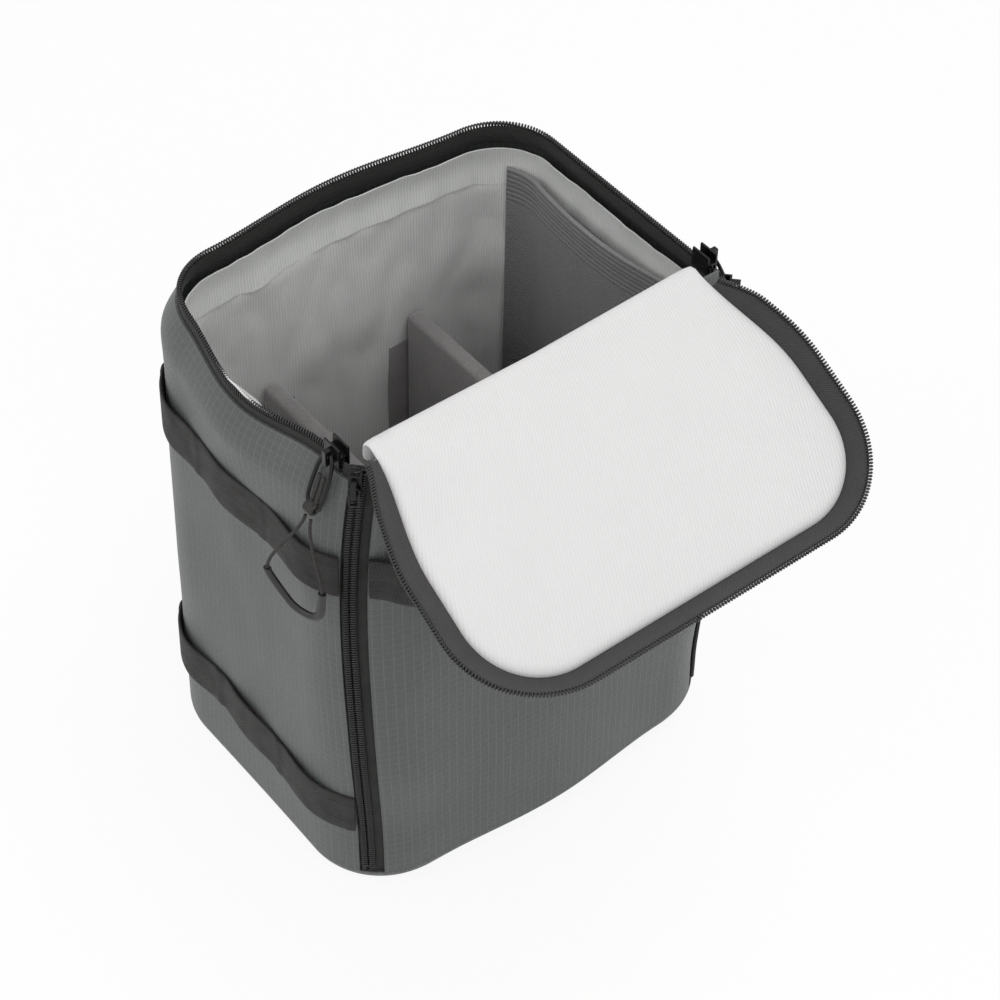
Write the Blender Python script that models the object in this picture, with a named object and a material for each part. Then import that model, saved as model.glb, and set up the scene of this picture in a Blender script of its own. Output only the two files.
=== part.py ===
"""Padded camera bag insert with a zipped lid and a fold-down front panel.

All lengths are in metres. Z is up, the front panel faces -Y, and the origin is
the middle of the base, on the surface that the insert stands on. The lid is
modelled closed and turned to its open rest angle by its hinge empty.
"""
import math

import bmesh
import bpy
from mathutils import Vector

# Overall sizes
BODY_WIDTH = 0.230
BODY_DEPTH = 0.182
RIM_HEIGHT = 0.290
LID_RISE = 0.0125
BODY_CORNER = 0.042
RIM_INSET = 0.008
SHOULDER_DROP = 0.030
BASE_HEIGHT = 0.012
BASE_ROUND = 0.011

# Fits
GAP = 0.0003
SLIDE_GAP = 0.0004

# Wall build-up, from the outside in
FABRIC = 0.0012
FOAM = 0.006
LINING = 0.0010
SEAM_DROP = 0.008
FOAM_DROP = 0.0165
FACING_DROP = 0.038
FACING = 0.0010

# Base build-up
BASE_BOARD = 0.0063

# Zips
ZIP_SLOT = 0.0016
TAPE = 0.0016
TAPE_WIDTH = 0.0100
COIL_WIDTH = 0.0032
COIL_THICKNESS = 0.0030
CORNER_COIL_THICKNESS = 0.0024
CORNER_ZIP_TOP_DROP = 0.001
ZIP_STOP = 0.004

# Lid
LID_REST_ANGLE = math.radians(200)
LID_FABRIC = 0.0014
LID_FOAM = 0.0045
LID_LINING = 0.0018
LID_FOLD_CLEARANCE = 0.0018
LID_EDGE_ROUND = 0.0010
LID_PAD_INSET = 0.0068

# Zip sliders
SLIDER_LENGTH = 0.011
PLATE = 0.0010
SLIDER_POST = 0.0010
FLANGE = 0.0010
BRIDGE_WIDTH = 0.0026
BRIDGE_LENGTH = 0.0082
BRIDGE_OPENING = 0.0050
BRIDGE_DEPTH = 0.0030
BRIDGE_BAR = 0.0011
CORNER_SLIDER_HALF = 0.0053
CORNER_PULL_LENGTH = 0.0100
CORNER_PULL_WIRE = 0.0012
SLIDER_REST = 0.0050

# Lid pulls, with their cord and moulded grip
PULL_LENGTH = 0.028
PULL_WIDTH = 0.0112
PULL_WIRE = 0.0017
PULL_LEAN = math.radians(21)
KNOT_WIDTH = 0.0070
KNOT_WALL = 0.0010
KNOT_DROP = 0.0020
CORD_DIAMETER = 0.0016
CORD_SPREAD = 0.0020
CORD_LEAD_SHARE = 0.25
GRIP_DROP = 0.068
GRIP_SHIFT = 0.002
GRIP_STAND_OFF = 0.0190
GRIP_THICKNESS = 0.0030
GRIP_WALL = 0.0045
GRIP_HALF_WIDTH = 0.0170
GRIP_HEIGHT = 0.021
GRIP_FOOT_BACK = -0.001
GRIP_FOOT_FRONT = 0.014
GRIP_KNEE = 0.013
GRIP_KNEE_PLACE = 0.009
GRIP_SLANT_SHARE = 0.4
GRIP_YAW = math.radians(20)

# Webbing
STRAP_WIDTH = 0.025
STRAP = 0.0016
STRAP_BOW = 0.0030
STRAP_BELOW_PULL = 0.0265
LOWER_STRAP_HEIGHT = 0.058
STRAP_SPANS = 3
HANDLE_BOW = 0.012
HANDLE_RUN = 0.020

# Inside
POCKET_DROP = 0.028
POCKET_HEIGHT = 0.152
POCKET_SHEET = 0.0012
POCKET_SLACK = 0.0085
HEM_HEIGHT = 0.009
HEM = 0.0022
DIVIDER_PLACE = 0.044
DIVIDER = 0.009
DIVIDER_TOP = 0.188
DIVIDER_ROUND = 0.0025
TAB = 0.0012
TAB_WIDTH = 0.030
TAB_FOOT = 0.030
TAB_TOP = 0.170

# Counts
CORNER_STEPS = 4
BACK_STEPS = 7
BOW_STEPS = 8
SHOULDER_STEPS = 4
RING_STEPS = 3
CORD_STEPS = 12

# Heights that follow from the sizes above
WALL_FOOT = BASE_HEIGHT + GAP
SHOULDER_START = RIM_HEIGHT - SHOULDER_DROP
RIM_SEAM = RIM_HEIGHT - SEAM_DROP
FOAM_TOP = RIM_HEIGHT - FOAM_DROP
FACING_FOOT = RIM_HEIGHT - FACING_DROP
FOLD_HEIGHT = RIM_HEIGHT + LID_RISE
FRONT_OF_RIM = -BODY_DEPTH / 2 + RIM_INSET
UPPER_STRAP_HEIGHT = RIM_HEIGHT - PULL_LENGTH - STRAP_BELOW_PULL - STRAP_WIDTH / 2
POCKET_TOP = RIM_HEIGHT - POCKET_DROP
POCKET_BOTTOM = POCKET_TOP - POCKET_HEIGHT

# Insets of the wall layers from the outer outline
FOAM_OUT = FABRIC + GAP
FOAM_IN = FOAM_OUT + FOAM
LINING_OUT = FOAM_IN + GAP
LINING_IN = LINING_OUT + LINING
TAPE_OUT = FABRIC + GAP
TAPE_MID = TAPE_OUT + TAPE / 2
HALF_SLOT = ZIP_SLOT / 2

# Colours: linear red, green and blue, roughness, metallic
SHELL_LOOK = (0.13, 0.14, 0.135, 0.75, 0.0)
FOAM_LOOK = (0.10, 0.10, 0.10, 0.95, 0.0)
LINING_LOOK = (0.52, 0.52, 0.52, 0.9, 0.0)
FACING_LOOK = (0.58, 0.60, 0.59, 0.85, 0.0)
LID_LINING_LOOK = (0.80, 0.80, 0.80, 0.9, 0.0)
TAPE_LOOK = (0.03, 0.03, 0.03, 0.85, 0.0)
COIL_LOOK = (0.02, 0.02, 0.02, 0.45, 0.0)
WEBBING_LOOK = (0.045, 0.04, 0.037, 0.8, 0.0)
POCKET_LOOK = (0.11, 0.11, 0.11, 0.9, 0.0)
METAL_LOOK = (0.02, 0.02, 0.02, 0.3, 0.8)
CORD_LOOK = (0.05, 0.05, 0.05, 0.9, 0.0)
PLASTIC_LOOK = (0.03, 0.03, 0.03, 0.4, 0.0)
BOARD_LOOK = (0.05, 0.05, 0.05, 0.7, 0.0)


def clear_scene():
    """Remove every object so that the script can run again."""
    for item in list(bpy.data.objects):
        bpy.data.objects.remove(item, do_unlink=True)


def make_material(name, look):
    """Return a Principled material of one colour."""
    material = bpy.data.materials.new(name)
    material.use_nodes = True
    shader = material.node_tree.nodes["Principled BSDF"]
    red, green, blue, roughness, metallic = look
    shader.inputs["Base Color"].default_value = (red, green, blue, 1)
    shader.inputs["Roughness"].default_value = roughness
    shader.inputs["Metallic"].default_value = metallic
    return material


def finish_mesh(name, form, look, parent=None):
    """Turn a bmesh into a named object with outward faces and its material."""
    bmesh.ops.recalc_face_normals(form, faces=form.faces)
    mesh = bpy.data.meshes.new(name)
    form.to_mesh(mesh)
    form.free()
    mesh.shade_smooth()
    mesh.set_sharp_from_angle(angle=math.radians(35))
    mesh.materials.append(make_material(name, look))
    item = bpy.data.objects.new(name, mesh)
    bpy.context.collection.objects.link(item)
    item.parent = parent
    return item


def make_empty(name, place, parent=None):
    """Add an empty that carries a moving body, standing on its joint's axis."""
    empty = bpy.data.objects.new(name, None)
    bpy.context.collection.objects.link(empty)
    empty.parent = parent
    empty.location = place
    return empty


def spread(start, end, steps):
    """Return steps + 1 evenly spaced values from start to end."""
    return [start + (end - start) * index / steps for index in range(steps + 1)]


def shoulder_inset(height):
    """Return how far the outline is drawn in at a height."""
    rise = (height - SHOULDER_START) / (RIM_SEAM - SHOULDER_START)
    rise = min(max(rise, 0), 1)
    return RIM_INSET * (1 - math.cos(rise * math.pi / 2))


def outline_sizes(height):
    """Return half width, half depth, front radius and back radius at a height.

    The front radius shrinks so that the middle of the front corner, where the
    corner zip runs, stays in one upright line.
    """
    inset = shoulder_inset(height)
    front_radius = BODY_CORNER - inset / (1 - math.sqrt(0.5))
    return BODY_WIDTH / 2 - inset, BODY_DEPTH / 2 - inset, front_radius, BODY_CORNER - inset


def outline_point(distance, height, side):
    """Return a point and outward normal on the outline.

    distance runs along the outline from the middle of the front, round the
    corner, along the side and to the middle of the back; side is -1 or 1.
    """
    half_width, half_depth, front_radius, back_radius = outline_sizes(height)
    front_run = half_width - front_radius
    front_arc = front_radius * math.pi / 2
    side_run = 2 * half_depth - front_radius - back_radius
    back_arc = back_radius * math.pi / 2
    if distance <= front_run:
        across, along, normal = distance, -half_depth, (0, -1)
    elif distance <= front_run + front_arc:
        turn = (distance - front_run) / front_radius
        normal = (math.sin(turn), -math.cos(turn))
        across = front_run + front_radius * normal[0]
        along = -half_depth + front_radius + front_radius * normal[1]
    elif distance <= front_run + front_arc + side_run:
        across = half_width
        along = -half_depth + front_radius + distance - front_run - front_arc
        normal = (1, 0)
    elif distance <= front_run + front_arc + side_run + back_arc:
        turn = (distance - front_run - front_arc - side_run) / back_radius
        normal = (math.cos(turn), math.sin(turn))
        across = half_width - back_radius + back_radius * normal[0]
        along = half_depth - back_radius + back_radius * normal[1]
    else:
        beyond = distance - front_run - front_arc - side_run - back_arc
        across, along, normal = half_width - back_radius - beyond, half_depth, (0, 1)
    return side * across, along, side * normal[0], normal[1]


def outline_marks(height):
    """Return the distances at which the outline's straights and arcs end."""
    half_width, half_depth, front_radius, back_radius = outline_sizes(height)
    front_run = half_width - front_radius
    corner_end = front_run + front_radius * math.pi / 2
    side_end = corner_end + 2 * half_depth - front_radius - back_radius
    back_start = side_end + back_radius * math.pi / 2
    back_middle = back_start + half_width - back_radius
    return front_run, corner_end, side_end, back_start, back_middle


def zip_distance(height):
    """Return the distance of the corner zip's middle line."""
    front_run, corner_end = outline_marks(height)[:2]
    return (front_run + corner_end) / 2


def walk(distances, height, side):
    """Return the outline points at these distances on one side."""
    return [outline_point(distance, height, side) for distance in distances]


def both_sides(distances, height):
    """Return the path from the left start, round the back, to the right start."""
    left = walk(distances, height, -1)
    right = walk(distances, height, 1)
    return left + right[::-1][1:]


def body_path(height, trim):
    """Return the path of the three fixed walls, trim short of the corner zips."""
    corner_end, side_end, back_start, back_middle = outline_marks(height)[1:]
    start = zip_distance(height) + trim
    distances = spread(start, corner_end, CORNER_STEPS)
    distances += spread(side_end, back_start, BACK_STEPS) + [back_middle]
    return both_sides(distances, height)


def rim_zip_start():
    """Return the Y at which the rim zip starts, where the rim's sides turn straight."""
    return FRONT_OF_RIM + outline_sizes(RIM_HEIGHT)[2]


def rim_path(height):
    """Return the path of the lid zip, which starts behind the front corners."""
    corner_end, side_end, back_start, back_middle = outline_marks(height)[1:]
    half_width, half_depth, front_radius = outline_sizes(height)[:3]
    start = corner_end + rim_zip_start() - (front_radius - half_depth)
    distances = spread(start, max(corner_end, start + 2 * GAP), 2)
    distances += spread(side_end, back_start, BACK_STEPS) + [back_middle]
    return both_sides(distances, height)


def panel_path(height, trim):
    """Return the path of the front panel from the left zip to the right zip."""
    front_run = outline_marks(height)[0]
    end = zip_distance(height) - trim
    distances = [0, front_run / 2] + spread(front_run, end, CORNER_STEPS)
    left = walk(distances, height, -1)
    right = walk(distances, height, 1)
    return left[::-1] + right[1:]


def closed_path(height, front_setback=0):
    """Return the whole outline as a closed ring of points."""
    front_run, corner_end, side_end, back_start, back_middle = outline_marks(height)
    distances = [0] + spread(front_run, corner_end, CORNER_STEPS)
    distances += spread(side_end, back_start, BACK_STEPS)
    left = walk(distances + [back_middle], height, -1)
    right = walk(distances, height, 1)
    ring = left + right[::-1][:-1]
    front = -outline_sizes(height)[1] + front_setback
    return [(x, max(y, front), nx, ny) for x, y, nx, ny in ring]


def add_grid(form, rows, closed_across):
    """Join rows of vertices with quads; closed_across joins last row to first."""
    count = len(rows)
    for index in range(count if closed_across else count - 1):
        lower, upper = rows[index], rows[(index + 1) % count]
        for place in range(len(lower) - 1):
            form.faces.new((lower[place], lower[place + 1], upper[place + 1], upper[place]))


def sweep(name, section, path_at, look, parent=None, swell=None, shift=(0, 0, 0)):
    """Sweep a closed section of (inset, height) points along a path.

    path_at(height) gives the plan path, and swell(share, height) adds to the
    inset along it. shift moves the result into its parent's frame.
    """
    form = bmesh.new()
    rows = []
    for inset, height in section:
        path = path_at(height)
        row = []
        for index, (x, y, nx, ny) in enumerate(path):
            share = index / (len(path) - 1)
            depth = inset + (swell(share, height) if swell else 0)
            place = Vector((x - nx * depth, y - ny * depth, height)) - Vector(shift)
            row.append(form.verts.new(place))
        rows.append(row)
    add_grid(form, rows, True)
    form.faces.new([row[0] for row in rows])
    form.faces.new([row[-1] for row in rows])
    return finish_mesh(name, form, look, parent)


def loft(name, rings, look, parent=None):
    """Join closed rings of points in order and cap the first and the last."""
    form = bmesh.new()
    rows = [[form.verts.new(point) for point in ring] for ring in rings]
    for lower, upper in zip(rows, rows[1:]):
        for index in range(len(lower)):
            after = (index + 1) % len(lower)
            form.faces.new((lower[index], lower[after], upper[after], upper[index]))
    form.faces.new(rows[0])
    form.faces.new(rows[-1])
    return finish_mesh(name, form, look, parent)


def prism(name, outline, frame, length, look, parent=None):
    """Extrude a closed plan of (a, b) points by length.

    frame is (origin, a axis, b axis, extrusion axis); the prism is centred on
    the origin along the extrusion axis.
    """
    origin, a_axis, b_axis, along = [Vector(item) for item in frame]
    rings = []
    for half in (-length / 2, length / 2):
        rings.append([origin + a_axis * a + b_axis * b + along * half for a, b in outline])
    return loft(name, rings, look, parent)


def heights_between(bottom, top):
    """Return bottom, the shoulder's levels that lie between, and top."""
    levels = spread(SHOULDER_START, RIM_SEAM, SHOULDER_STEPS)
    return [bottom] + [level for level in levels if bottom + GAP < level < top - GAP] + [top]


def band(outer, inner, bottom, top):
    """Return the section of a plain layer between two insets."""
    levels = heights_between(bottom, top)
    return [(outer, level) for level in levels] + [(inner, level) for level in levels[::-1]]


def bead(inner, outer, bottom, top):
    """Return an eight-sided section with cut corners."""
    cut = min(abs(outer - inner), top - bottom) / 4
    return [(inner + cut, bottom), (inner, bottom + cut), (inner, top - cut), (inner + cut, top),
            (outer - cut, top), (outer, top - cut), (outer, bottom + cut), (outer - cut, bottom)]


def boolean(item, tool, operation):
    """Join or cut item with a hidden tool object."""
    tool.hide_render = True
    tool.display_type = "WIRE"
    modifier = item.modifiers.new(operation.lower(), "BOOLEAN")
    modifier.operation = operation
    modifier.solver = "EXACT"
    modifier.object = tool


def build_base():
    """Make the fabric tray, its board and the padded floor."""
    rings = []
    for turn in (0, 30, 60, 90):
        rise = BASE_ROUND * (1 - math.cos(math.radians(turn)))
        inset = BASE_ROUND * (1 - math.sin(math.radians(turn)))
        rings.append((inset, rise))
    rings += [(0, BASE_HEIGHT), (FABRIC, BASE_HEIGHT), (BASE_ROUND + FABRIC, FABRIC)]
    inset_ring(rings, "base_fabric", SHELL_LOOK)
    board_foot = FABRIC + GAP
    board_top = board_foot + BASE_BOARD
    inset_ring([(tray_inset(board_foot), board_foot), (tray_inset(board_top), board_top)],
               "base_board", BOARD_LOOK)
    floor_foot = board_top + GAP
    inset_ring([(tray_inset(floor_foot), floor_foot), (tray_inset(BASE_HEIGHT), BASE_HEIGHT)],
               "base_lining", LINING_LOOK)


def tray_inset(height):
    """Return the inset at a height that clears the tray's sloping inner side."""
    slope = BASE_ROUND / (BASE_HEIGHT - FABRIC)
    return FABRIC + (BASE_HEIGHT - height) * slope + 2 * GAP


def inset_ring(rings, name, look):
    """Loft rings of (inset, height) from the body's full outline."""
    path = closed_path(0)
    loft(name, [[(x - nx * inset, y - ny * inset, height) for x, y, nx, ny in path]
                for inset, height in rings], look)


def build_walls():
    """Make the layers of the left, back and right walls."""
    def path(height):
        return body_path(height, TAPE_WIDTH + GAP)

    sweep("wall_fabric", band(0, FABRIC, WALL_FOOT, RIM_SEAM), path, SHELL_LOOK)
    sweep("wall_foam", band(FOAM_OUT, FOAM_IN, WALL_FOOT, FOAM_TOP), path, FOAM_LOOK)
    sweep("wall_lining", band(LINING_OUT, LINING_IN, WALL_FOOT, FACING_FOOT - GAP), path,
          LINING_LOOK)
    levels = heights_between(FACING_FOOT, FOAM_TOP + GAP)
    flange = TAPE_OUT + TAPE + GAP
    section = [(LINING_IN, level) for level in levels + [FOAM_TOP + GAP + FACING]]
    section += [(flange, FOAM_TOP + GAP + FACING), (flange, FOAM_TOP + GAP)]
    section += [(LINING_OUT, level) for level in levels[::-1]]
    sweep("rim_facing", section, path, FACING_LOOK)


def build_rim_zip():
    """Make the lid zip's lower tape and coil, with a stop at each end."""
    tape_top = RIM_HEIGHT - COIL_WIDTH - GAP
    sweep("rim_tape", band(TAPE_OUT, TAPE_OUT + TAPE, FOAM_TOP + GAP, tape_top), rim_path,
          TAPE_LOOK)
    section = bead(TAPE_MID - COIL_THICKNESS / 2, TAPE_MID + COIL_THICKNESS / 2,
                   RIM_HEIGHT - COIL_WIDTH, RIM_HEIGHT)
    sweep("rim_coil", section, rim_path, COIL_LOOK)


def zip_frame(side):
    """Return the corner zip's origin, its tangent towards the body and its normal."""
    x, y, nx, ny = outline_point(zip_distance(0), 0, side)
    normal = Vector((nx, ny, 0))
    tangent = Vector((side * -ny, -nx * -side, 0))
    if tangent.y < 0:
        tangent = -tangent
    return Vector((x, y, 0)), tangent, normal


def corner_zip_top():
    """Return the height at which the corner zips end."""
    return RIM_HEIGHT - CORNER_ZIP_TOP_DROP


def tape_path(side, towards_body):
    """Return the path function of one half of a corner tape."""
    def path(height):
        sign = 1 if towards_body else -1
        middle = zip_distance(height)
        offsets = spread(HALF_SLOT, TAPE_WIDTH, 3)
        return walk([middle + sign * offset for offset in offsets], height, side)
    return path


def build_corner_half(prefix, side, towards_body, parent=None, shift=(0, 0, 0)):
    """Make the tape and coil of one half of a corner zip."""
    word = "left" if side < 0 else "right"
    foot = WALL_FOOT
    sweep(f"{prefix}_tape_{word}", band(0, TAPE, foot, corner_zip_top()),
          tape_path(side, towards_body), TAPE_LOOK, parent, shift=shift)
    origin, tangent, normal = zip_frame(side)
    sign = 1 if towards_body else -1
    inner = sign * HALF_SLOT
    outer = sign * (HALF_SLOT + COIL_WIDTH)
    low, high = min(inner, outer), max(inner, outer)
    outline = bead(low, high, GAP, GAP + CORNER_COIL_THICKNESS)
    coil_foot = foot + ZIP_STOP + GAP
    length = corner_zip_top() - coil_foot
    middle = origin - Vector(shift) + Vector((0, 0, coil_foot + length / 2))
    prism(f"{prefix}_coil_{word}", outline, (middle, tangent, normal, (0, 0, 1)), length,
          COIL_LOOK, parent)


def build_zip_stops():
    """Make the stop below each corner zip's body coil."""
    for side, word in ((-1, "left"), (1, "right")):
        origin, tangent, normal = zip_frame(side)
        outline = bead(HALF_SLOT, HALF_SLOT + COIL_WIDTH, GAP, GAP + CORNER_COIL_THICKNESS)
        middle = origin + Vector((0, 0, WALL_FOOT + ZIP_STOP / 2))
        prism(f"corner_stop_{word}", outline, (middle, tangent, normal, (0, 0, 1)), ZIP_STOP,
              METAL_LOOK)


def strap_section(height):
    """Return the section of a strap, standing GAP off the fabric."""
    bottom = height - STRAP_WIDTH / 2
    top = height + STRAP_WIDTH / 2
    return [(-GAP, bottom), (-GAP, top), (-GAP - STRAP, top), (-GAP - STRAP, bottom)]


def build_side_straps():
    """Make the two webbing straps on each side, bowed out between their tacks."""
    def bow(share, height):
        return -STRAP_BOW * math.sin(share * STRAP_SPANS * math.pi) ** 2

    for level, tier in ((UPPER_STRAP_HEIGHT, "upper"), (LOWER_STRAP_HEIGHT, "lower")):
        for side, word in ((-1, "left"), (1, "right")):
            def path(height, side=side):
                side_end, back_start = outline_marks(0)[2:4]
                start = zip_distance(0) + TAPE_WIDTH + GAP
                end = (side_end + back_start) / 2
                steps = BOW_STEPS * STRAP_SPANS
                return walk(spread(start, end, steps), 0, side)
            sweep(f"side_strap_{tier}_{word}", strap_section(level), path, WEBBING_LOOK,
                  swell=bow)


def build_pocket():
    """Make the stretch pocket on the right wall and its hem."""
    def path(height):
        front_run, corner_end, side_end, back_start = outline_marks(height)[:4]
        start = (zip_distance(height) + TAPE_WIDTH + corner_end) / 2
        end = (side_end + back_start) / 2
        distances = spread(start, corner_end, 2) + spread(corner_end, side_end, BOW_STEPS)[1:]
        return walk(distances + spread(side_end, end, 3)[1:], height, 1)

    def slack(share, height):
        rise = (height - POCKET_BOTTOM) / (POCKET_TOP - POCKET_BOTTOM)
        return POCKET_SLACK * rise * math.sin(share * math.pi)

    inner = LINING_IN + GAP
    hem_foot = POCKET_TOP - HEM_HEIGHT
    clear = FACING + GAP
    sheet_levels = spread(POCKET_BOTTOM, hem_foot - GAP, 3)
    section = [(inner + POCKET_SHEET + clear, level) for level in sheet_levels]
    section += [(inner + clear, level) for level in sheet_levels[::-1]]
    sweep("stretch_pocket", section, path, POCKET_LOOK, swell=slack)
    hem = bead(inner + clear - (HEM - POCKET_SHEET) / 2, inner + clear + (HEM + POCKET_SHEET) / 2,
               hem_foot, POCKET_TOP)
    sweep("pocket_hem", hem, path, POCKET_LOOK, swell=slack)


def rounded_block(name, low, high, radius, look):
    """Make a box between two corners, its edges rounded by a bevel."""
    form = bmesh.new()
    bmesh.ops.create_cube(form, size=1)
    size = Vector(high) - Vector(low)
    middle = (Vector(high) + Vector(low)) / 2
    bmesh.ops.scale(form, vec=size, verts=form.verts)
    bmesh.ops.translate(form, vec=middle, verts=form.verts)
    item = finish_mesh(name, form, look)
    if radius:
        bevel = item.modifiers.new("edges", "BEVEL")
        bevel.width = radius
        bevel.segments = 2
    return item


def build_dividers():
    """Make two padded dividers and the hook tabs at their ends."""
    floor = BASE_HEIGHT + GAP
    inside = BODY_DEPTH / 2 - LINING_IN - GAP
    for side, word in ((-1, "left"), (1, "right")):
        middle = side * DIVIDER_PLACE
        end = inside - TAB - GAP
        rounded_block(f"divider_{word}", (middle - DIVIDER / 2, -end, floor),
                      (middle + DIVIDER / 2, end, DIVIDER_TOP), DIVIDER_ROUND, LINING_LOOK)
        for facing, place in ((-1, "front"), (1, "back")):
            near, far = sorted((facing * (inside - TAB), facing * inside))
            rounded_block(f"divider_tab_{word}_{place}",
                          (middle - TAB_WIDTH / 2, near, TAB_FOOT),
                          (middle + TAB_WIDTH / 2, far, TAB_TOP), 0, WEBBING_LOOK)


def build_panel(hinge):
    """Make the fold-down front panel on its bottom hinge."""
    shift = hinge.location

    def path(height):
        return panel_path(height, TAPE_WIDTH + GAP)

    inner_top = FOLD_HEIGHT - LID_RISE * 0.75
    sweep("panel_fabric", band(0, FABRIC, WALL_FOOT, FOLD_HEIGHT - GAP), path, SHELL_LOOK, hinge,
          shift=shift)
    sweep("panel_foam", band(FOAM_OUT, FOAM_IN, WALL_FOOT, inner_top), path, FOAM_LOOK, hinge,
          shift=shift)
    sweep("panel_lining", band(LINING_OUT, LINING_IN, WALL_FOOT, inner_top), path, LINING_LOOK,
          hinge, shift=shift)
    for side in (-1, 1):
        build_corner_half("panel", side, False, hinge, shift)


def build_handle(hinge):
    """Make the webbing grab handle that stands off the front panel."""
    def path(height):
        end = zip_distance(0) - TAPE_WIDTH - GAP
        steps = 3 * BOW_STEPS
        left = walk(spread(end, 0, steps), 0, -1)
        return left + walk(spread(0, end, steps), 0, 1)[1:]

    def bow(share, height):
        length = 2 * zip_distance(0)
        from_end = min(share, 1 - share) * length
        rise = min(from_end / HANDLE_RUN, 1)
        return -HANDLE_BOW * (1 - math.cos(rise * math.pi)) / 2

    sweep("grab_handle", strap_section(UPPER_STRAP_HEIGHT), path, WEBBING_LOOK, hinge, swell=bow,
          shift=hinge.location)


def build_lid(hinge):
    """Make the lid's layers closed, in the hinge's frame; the hinge turns them."""
    def plate(name, levels, look):
        rings = []
        for inset, level in levels:
            path = closed_path(FOLD_HEIGHT, LID_FOLD_CLEARANCE)
            rings.append([(x - nx * inset, y - ny * inset - FRONT_OF_RIM, level)
                          for x, y, nx, ny in path])
        loft(name, rings, look, hinge)

    fabric_foot = -LID_FABRIC
    plate("lid_fabric", [(LID_EDGE_ROUND, 0), (0, fabric_foot / 2), (0, fabric_foot)], SHELL_LOOK)
    foam_top = fabric_foot - GAP
    foam_foot = foam_top - LID_FOAM
    plate("lid_foam", [(LID_PAD_INSET, foam_top), (LID_PAD_INSET, foam_foot)], FOAM_LOOK)
    lining_top = foam_foot - GAP
    plate("lid_lining", [(LID_PAD_INSET, lining_top),
                         (LID_PAD_INSET + LID_LINING / 2, lining_top - LID_LINING)],
          LID_LINING_LOOK)
    coil_foot = RIM_HEIGHT + ZIP_SLOT
    coil_top = coil_foot + COIL_WIDTH
    shift = (0, FRONT_OF_RIM, FOLD_HEIGHT)
    sweep("lid_tape", band(TAPE_OUT, TAPE_OUT + TAPE, coil_top + GAP, FOLD_HEIGHT + foam_top),
          rim_path, TAPE_LOOK, hinge, shift=shift)
    section = bead(TAPE_MID - COIL_THICKNESS / 2, TAPE_MID + COIL_THICKNESS / 2, coil_foot,
                   coil_top)
    sweep("lid_coil", section, rim_path, COIL_LOOK, hinge, shift=shift)


def bridge_outline(face):
    """Return the arch that holds a pull, on a plate whose face is at this offset."""
    half, hole = BRIDGE_LENGTH / 2, BRIDGE_OPENING / 2
    depth = face + BRIDGE_DEPTH
    top = depth + BRIDGE_BAR
    root = face - PLATE / 2
    return [(-half, root), (-half, top), (half, top), (half, root), (hole, root), (hole, depth),
            (-hole, depth), (-hole, root)]


def add_bridge(slider, face, frame, parent):
    """Join the pull's bridge to a slider."""
    tool = prism(f"{slider.name}_bridge", bridge_outline(face), frame, BRIDGE_WIDTH, METAL_LOOK,
                 parent)
    boolean(slider, tool, "UNION")


def build_lid_slider(side, word, carrier):
    """Make a lid zip slider round the rim coil; its middle is the carrier's origin.

    The upper side is open, so that the lid's coil can enter from above.
    """
    channel = COIL_THICKNESS / 2 + SLIDE_GAP
    outer = channel + PLATE
    throat = TAPE / 2 + GAP
    foot = -COIL_WIDTH - SLIDE_GAP - FLANGE
    ledge = -COIL_WIDTH - SLIDE_GAP
    web = GAP
    web_top = web + SLIDER_POST
    head = ZIP_SLOT + COIL_WIDTH + PLATE
    outline = [(outer, foot), (outer, head), (channel, head), (channel, web_top),
               (-channel, web_top), (-channel, head), (-outer, head), (-outer, foot),
               (-throat, foot), (-throat, ledge), (-channel, ledge), (-channel, web),
               (channel, web), (channel, ledge), (throat, ledge), (throat, foot)]
    outward = (side, 0, 0)
    slider = prism(f"lid_slider_{word}", outline, ((0, 0, 0), outward, (0, 0, 1), (0, 1, 0)),
                   SLIDER_LENGTH, METAL_LOOK, carrier)
    add_bridge(slider, outer, ((0, 0, 0), (0, 0, 1), outward, (0, 1, 0)), carrier)
    return outer


def pull_axes(side):
    """Return a hanging lid pull's width axis, outward normal and lean direction."""
    forward = Vector((0, -1, 0))
    outward = Vector((side, 0, 0))
    down = outward * math.sin(PULL_LEAN) - Vector((0, 0, math.cos(PULL_LEAN)))
    return forward, outward, down


def grip_axes(side):
    """Return the grip's width axis and outward normal, turned a little to the front."""
    forward = Vector((-side * math.sin(GRIP_YAW), -math.cos(GRIP_YAW), 0))
    outward = Vector((side * math.cos(GRIP_YAW), -math.sin(GRIP_YAW), 0))
    return forward, outward


def rounded_frame(half, length, corner):
    """Return a closed rounded rectangle of (across, drop) points, from drop 0."""
    points = []
    for quarter, (sign, is_low) in enumerate(((1, False), (1, True), (-1, True), (-1, False))):
        across = sign * (half - corner)
        drop = length - corner if is_low else corner
        for degrees in spread(quarter * 90 - 90, quarter * 90, RING_STEPS):
            turn = math.radians(degrees)
            points.append((across + corner * math.cos(turn), drop + corner * math.sin(turn)))
    return points


def tube(name, points, diameter, look, parent, closed):
    """Make a round tube along points, closed on itself or with filled caps."""
    curve = bpy.data.curves.new(name, "CURVE")
    curve.dimensions = "3D"
    curve.bevel_depth = diameter / 2
    curve.bevel_resolution = 2
    curve.use_fill_caps = not closed
    spline = curve.splines.new("POLY")
    spline.points.add(len(points) - 1)
    for point, place in zip(spline.points, points):
        point.co = (*place, 1)
    spline.use_cyclic_u = closed
    curve.materials.append(make_material(name, look))
    item = bpy.data.objects.new(name, curve)
    bpy.context.collection.objects.link(item)
    item.parent = parent
    return item


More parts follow.
